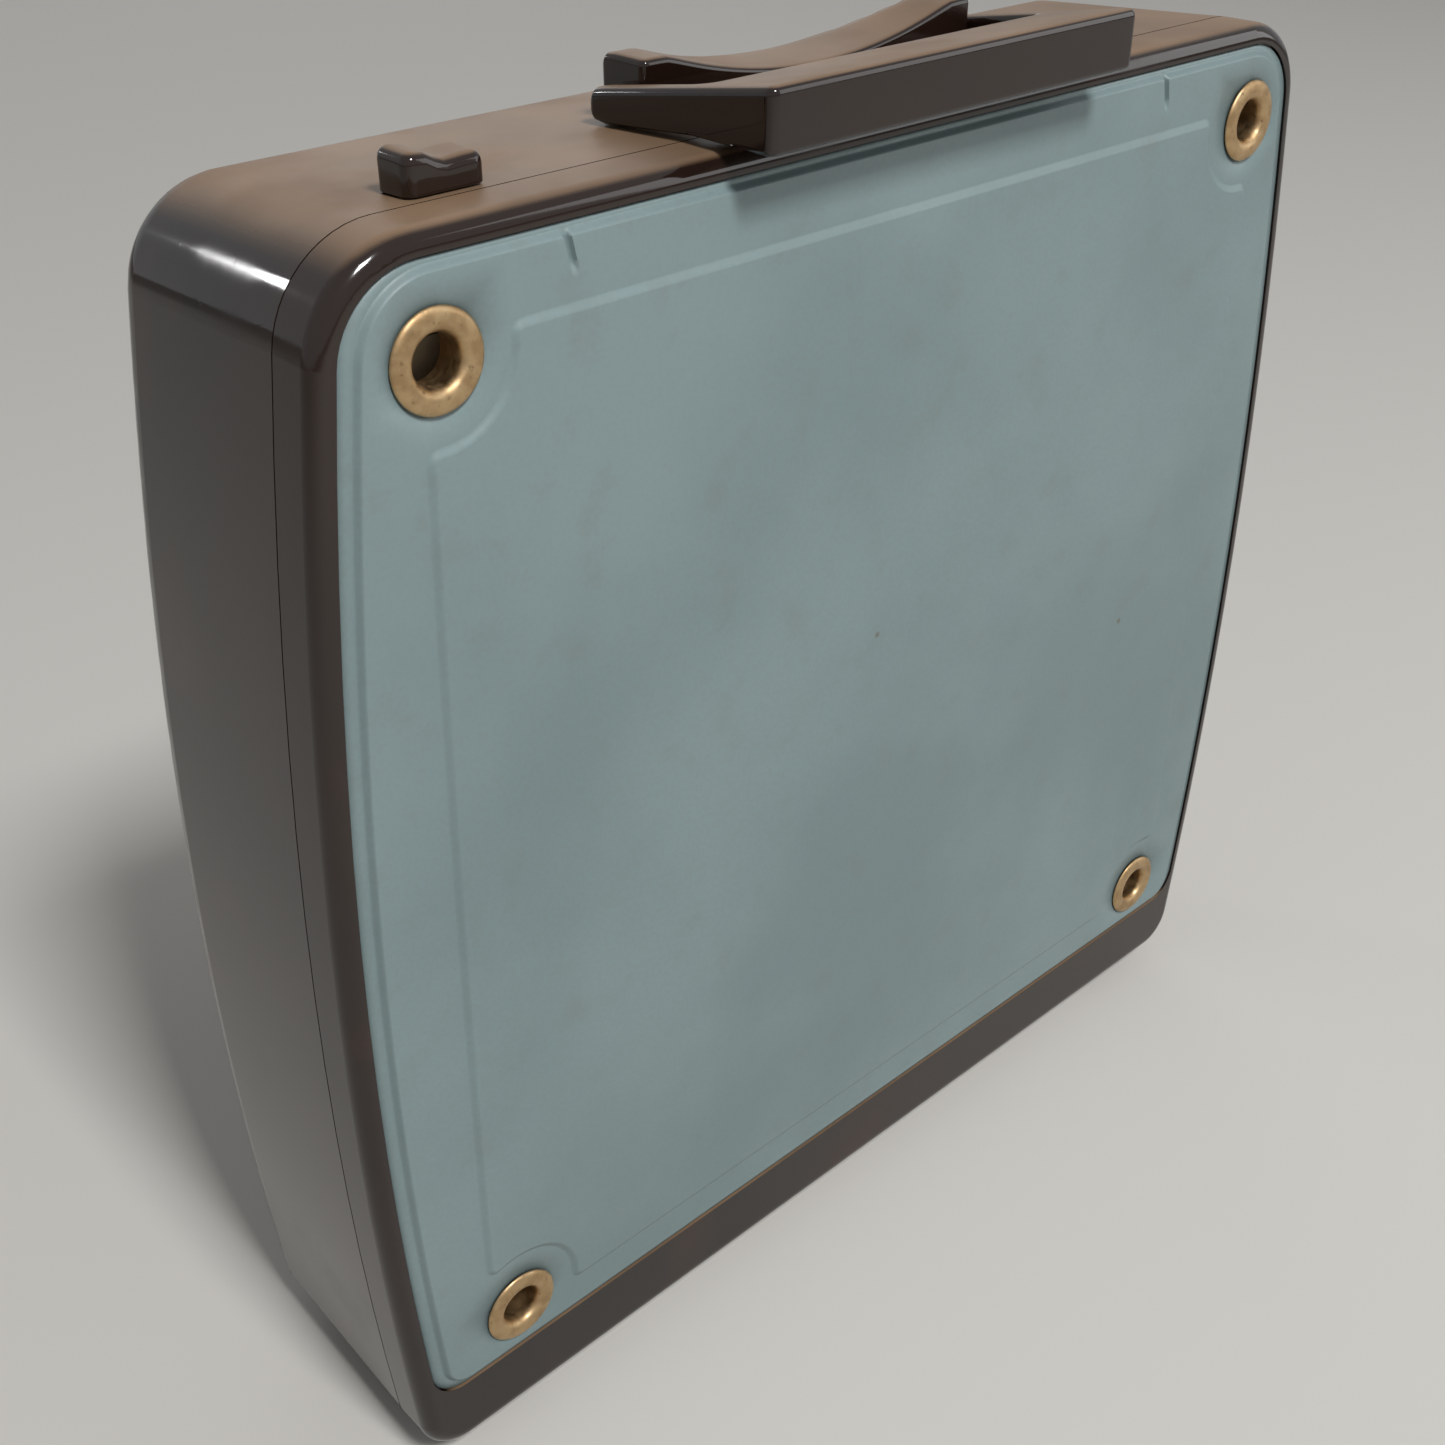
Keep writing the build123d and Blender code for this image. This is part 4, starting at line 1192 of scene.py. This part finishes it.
@dataclass
class CarryHandle(SubAssembly):
    """Fold-flat grip with two arms, and the dished bracket that it pivots on."""

    grip_depth: float = 18.0
    arm: float = 4.1
    arm_end_r: float = 2.8
    grip_edge: float = 1.5
    grip_corner: float = 1.7
    saddle_flat: float = 9.0
    saddle_dip: float = 5.9
    saddle_horn: float = 4.8
    saddle_back_rise: float = 2.2
    saddle_back_trim: float = 4.5    # the seen bracket stops this much short of the node's back
    saddle_edge: float = 1.1
    saddle_side: float = 10.0        # length of the straight sides, before the back corners
    saddle_cut: float = 11.0         # how far the back corners come in
    top_fall: float = 2.9 / 50.0     # fall of the case's top for each millimetre back

    def build(self) -> None:
        """Build the grip and the bracket, and dress the metal that holds them."""
        self.build_grip()
        self.build_bracket()
        self.dress_nodes(Finish.STEEL, ("handle_pins", "bracket_plate", "bracket_screws"))

    def build_grip(self) -> None:
        """Build the grip and its arms as one moulding."""
        low, high = (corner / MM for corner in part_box("handle_grip"))
        pins_low, pins_high = (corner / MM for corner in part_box("handle_pins"))
        pivot = (pins_low + pins_high) / 2
        bar_back = low.y + self.grip_depth
        end = high.y - 0.05
        corner, small = self.grip_corner, self.grip_corner * 0.9
        inner = high.x - self.arm
        plan = rounded_polygon([(low.x, low.y, corner), (high.x, low.y, corner),
                                (high.x, end, small), (inner, end, small),
                                (inner, bar_back, corner), (-inner, bar_back, corner),
                                (-inner, end, small), (low.x, end, small)], 2.0)
        floor_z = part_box("lid_shell")[1].z / MM + 1.2
        tip_low, tip_high = pivot.z - self.arm_end_r, pivot.z + self.arm_end_r

        def bulge(y: float) -> float:
            """Half the arm's height at its round end."""
            return math.sqrt(max(self.arm_end_r ** 2 - max(y - pivot.y, 0.0) ** 2, 0.0))

        def top(x: float, y: float) -> float:
            """Height of the upper face."""
            if y > pivot.y:
                return pivot.z + bulge(y)
            return high.z + (tip_high - high.z) * (y - low.y) / (pivot.y - low.y)

        def bottom(x: float, y: float) -> float:
            """Height of the lower face."""
            if y > pivot.y:
                return pivot.z - bulge(y)
            return floor_z + (tip_low - floor_z) * max(y - bar_back, 0.0) / (pivot.y - bar_back)

        maker = MeshMaker()
        SoftBlock(plan, top, bottom, self.grip_edge, 1.0).add_to(maker)
        self.place(maker.make("carry_grip"), "handle", Finish.SHELL, "handle_grip")

    def build_bracket(self) -> None:
        """Build the dished bracket between the arms."""
        low, high = (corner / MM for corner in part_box("handle_bracket"))
        high.y -= self.saddle_back_trim
        half = high.x
        side_end, back_half = low.y + self.saddle_side, half - self.saddle_cut
        plan = rounded_polygon([(-half, low.y, 1.3), (half, low.y, 1.3), (half, side_end, 1.3),
                                (back_half, high.y, 2.0), (-back_half, high.y, 2.0),
                                (-half, side_end, 1.3)], 2.0)
        case_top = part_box("lid_shell")[1].z / MM
        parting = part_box("hinge_pin")
        parting_y = (parting[0].y + parting[1].y) / 2 / MM
        dip_half = half - self.saddle_horn
        radius = (dip_half ** 2 + self.saddle_dip ** 2) / (2 * self.saddle_dip)

        def skin(y: float) -> float:
            """Height of the case's top face."""
            return case_top - self.top_fall * (y - parting_y)

        def dish(x: float) -> float:
            """Height of the dished upper face."""
            if abs(x) >= dip_half:
                return high.z
            return high.z - self.saddle_dip + radius - math.sqrt(radius ** 2 - x ** 2)

        def top(x: float, y: float) -> float:
            """Height of the upper face, which slopes down behind its flat front part."""
            back = max(y - low.y - self.saddle_flat, 0.0) / (high.y - low.y - self.saddle_flat)
            slope = high.z + (skin(high.y) + self.saddle_back_rise - high.z) * back
            gap = dish(x) - slope
            return slope + gap / 2 - math.sqrt(gap ** 2 / 4 + 0.12)

        maker = MeshMaker()
        SoftBlock(plan, top, lambda x, y: skin(y) + 0.02, self.saddle_edge, pitch=1.3).add_to(maker)
        self.place(maker.make("saddle_bracket"), "case", Finish.SHELL, "handle_bracket")


@dataclass
class SlideLock(SubAssembly):
    """Thumb slider with a dished crown on a stem, and the works that it drives."""

    crown_length: float = 13.3       # shorter than the node, from its right end
    crown_depth: float = 8.3         # shallower than the node, from its front
    left_drop: float = 1.3
    right_drop: float = 2.7
    dip: float = 2.9
    horn: float = 2.4
    edge: float = 1.7
    corner: float = 1.8
    stem_length: float = 6.0
    stem_width: float = 4.0
    lift: float = 0.25
    top_fall: float = 2.9 / 50.0

    def build(self) -> None:
        """Build the slider and dress the works under it."""
        low, high = (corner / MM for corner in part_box("lock_slider"))
        case_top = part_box("lid_shell")[1].z / MM
        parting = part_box("hinge_pin")
        parting_y = (parting[0].y + parting[1].y) / 2 / MM
        stem_x = (low.x + high.x) / 2
        low.x, high.y = high.x - self.crown_length, low.y + self.crown_depth
        middle = (low.x + high.x) / 2
        plan = rounded_polygon([(low.x, low.y, self.corner), (high.x, low.y, self.corner),
                                (high.x, high.y, self.corner), (low.x, high.y, self.corner)], 1.5)
        left_z, right_z = high.z - self.left_drop, high.z - self.right_drop
        valley = high.z - self.dip

        def top(x: float, y: float) -> float:
            """Height of the crown: a horn at each end and a dip for the thumb."""
            reach = (high.x - low.x) / 2 - self.horn
            share = min(abs(x - middle) / reach, 1.0)
            horn_z = left_z if x < middle else right_z
            return valley + (horn_z - valley) * (1 - math.cos(math.pi * share)) / 2

        def bottom(x: float, y: float) -> float:
            """Height of the underside, just above the case."""
            return case_top - self.top_fall * (y - parting_y) + self.lift

        maker = MeshMaker()
        SoftBlock(plan, top, bottom, self.edge, 0.3, pitch=0.9).add_to(maker)
        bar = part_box("latch_bar")
        bar_y = (bar[0].y + bar[1].y) / 2 / MM
        reach_x, reach_y = self.stem_length / 2, self.stem_width / 2
        stem = rounded_polygon([(stem_x - reach_x, bar_y - reach_y, 0.6),
                                (stem_x + reach_x, bar_y - reach_y, 0.6),
                                (stem_x + reach_x, bar_y + reach_y, 0.6),
                                (stem_x - reach_x, bar_y + reach_y, 0.6)], 1.0)
        SoftBlock(stem, lambda x, y: case_top + 1.0, lambda x, y: bar[1].z / MM, 0.2,
                  pitch=1.5).add_to(maker)
        self.place(maker.make("thumb_slider"), "lock", Finish.SHELL, "lock_slider")
        self.dress_nodes(Finish.STEEL, ("slider_screw", "latch_bar", "cover_screws"))
        self.dress_nodes(Finish.LINER, ("latch_cover",))


@dataclass
class CaseAndLid(SubAssembly):
    """Moulded shells with their liners, seal, keepers, hinge and feet."""

    def build(self) -> None:
        """Dress the frame's own nodes, whose shapes are already right."""
        self.dress_nodes(Finish.SHELL, ("rear_shell", "lid_shell"))
        self.dress_nodes(Finish.LINER, ("case_liner", "lid_liner"))
        self.dress_nodes(Finish.RUBBER, ("rim_seal", "rubber_feet"))
        self.dress_nodes(Finish.BRASS, ("eyelet_washers",))
        self.dress_nodes(Finish.STEEL, ("lid_keepers", "keeper_rivets", "case_hinge_leaf",
                                        "lid_hinge_leaf", "hinge_pin", "case_leaf_rivets",
                                        "lid_leaf_rivets"))


# --- Studio -------------------------------------------------------------------------------
@dataclass(frozen=True)
class Lamp:
    """Rectangular lamp, placed in metres."""

    name: str
    place: tuple[float, float, float]
    size: tuple[float, float]
    watts: float


# The key lamp stands ahead and above, a little to the left, so the grip shades the panel. The
# back lamp is broad, for the sheen of the top, and the slim window strip's reflection runs along
# the rounded corner.
LAMPS = (Lamp("key_lamp", (-0.24, -1.10, 1.60), (0.34, 0.34), 26.0),
         Lamp("back_lamp", (0.95, 1.75, 0.90), (1.3, 0.7), 3.0),
         Lamp("window_strip", (-0.80, 1.75, 0.86), (0.26, 0.12), 2.2),
         Lamp("fill_lamp", (1.60, -1.20, 0.80), (1.2, 1.2), 7.0))


@dataclass
class Studio:
    """Pale floor, soft lamps and the camera."""

    floor: str = "d6d3cd"
    sky: str = "e4e6e8"
    sky_strength: float = 0.24
    backdrop_strength: float = 0.62
    floor_half: float = 6.0
    lamp_aim: float = 0.13           # height that the lamps point at
    lens_mm: float = 44.5
    camera_left: float = 225.2       # camera left of the middle
    camera_ahead: float = 193.7      # camera in front of the eyelet heads
    camera_above: float = 69.0       # camera above the case top
    gaze: Vector = field(default_factory=lambda: Vector((0.5764, 0.6207, -0.5314)))

    def build(self) -> None:
        """Build the floor, the lamps and the camera."""
        self.make_floor()
        self.make_world()
        for lamp in LAMPS:
            self.make_lamp(lamp)
        self.make_camera()

    def make_floor(self) -> None:
        """Lay a wide plane under the feet."""
        mesh = bpy.data.meshes.new("floor")
        half = self.floor_half
        corners = [(-half, -half, 0), (half, -half, 0), (half, half, 0), (-half, half, 0)]
        mesh.from_pydata(corners, [], [(0, 1, 2, 3)])
        floor = bpy.data.objects.new("floor", mesh)
        bpy.context.scene.collection.objects.link(floor)
        t = Surface("board_painted_matte")
        mesh.materials.append(t.dress(Base_Color=linear(self.floor), Roughness=0.9))

    def make_world(self) -> None:
        """Light everything softly from all round."""
        world = bpy.data.worlds.new("studio")
        bpy.context.scene.world = world
        tree = Tree(world)
        # What the eye sees, straight or in gloss, is the pale backdrop; the fill is weaker.
        seen = tree.add("ShaderNodeLightPath", out="Is Camera Ray")
        for kind in ("Is Glossy Ray", "Is Transmission Ray"):
            ray = tree.add("ShaderNodeLightPath", out=kind)
            seen = tree.add("ShaderNodeMath", {0: seen, 1: ray}, operation="MAXIMUM")
        level = tree.add("ShaderNodeMapRange", {"Value": seen, "To Min": self.sky_strength,
                                                "To Max": self.backdrop_strength})
        tree.feed(world.node_tree.nodes["Background"],
                  {"Color": linear(self.sky), "Strength": level})

    def make_lamp(self, lamp: Lamp) -> None:
        """Add a soft rectangular lamp that faces the box.

        Args:
            lamp: Which lamp.
        """
        data = bpy.data.lights.new(lamp.name, "AREA")
        data.shape = "RECTANGLE"
        data.size, data.size_y = lamp.size
        data.energy = lamp.watts
        piece = bpy.data.objects.new(lamp.name, data)
        piece.location = lamp.place
        aim = Vector((0.0, 0.0, self.lamp_aim)) - Vector(lamp.place)
        piece.rotation_mode = "QUATERNION"
        piece.rotation_quaternion = aim.to_track_quat("-Z", "Y")
        bpy.context.scene.collection.objects.link(piece)

    def make_camera(self) -> None:
        """Stand the camera to the left, in front of and above the box."""
        data = bpy.data.cameras.new("camera")
        data.lens = self.lens_mm
        camera = bpy.data.objects.new("camera", data)
        heads_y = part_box("panel_eyelets")[0].y
        case_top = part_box("lid_shell")[1].z
        place = Vector((-self.camera_left * MM, heads_y - self.camera_ahead * MM,
                        case_top + self.camera_above * MM))
        forward = self.gaze.normalized()
        right = forward.cross(Vector((0, 0, 1))).normalized()
        up = right.cross(forward)
        turn = Matrix((right, up, -forward)).transposed()
        camera.matrix_world = Matrix.Translation(place) @ turn.to_4x4()
        bpy.context.scene.collection.objects.link(camera)
        bpy.context.scene.camera = camera


def main() -> None:
    """Build every piece round the frame and set up the studio."""
    logging.basicConfig(level=logging.INFO, format="%(message)s")
    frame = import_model()
    bpy.context.scene.view_settings.view_transform = "Standard"
    palette, nodes = Palette(), frame["nodes"]
    washers_low, washers_high = (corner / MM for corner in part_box("eyelet_washers"))
    eyelets = [Vector((x, z)) for x in (washers_low.x + WASHER_R, washers_high.x - WASHER_R)
               for z in (washers_low.z + WASHER_R, washers_high.z - WASHER_R)]
    CaseAndLid(palette, nodes).build()
    FrontPanel(palette, nodes).build(eyelets, NICKS_X)
    Eyelets(palette, nodes).build(eyelets)
    CarryHandle(palette, nodes).build()
    SlideLock(palette, nodes).build()
    Studio().build()


if __name__ == "__main__":
    main()
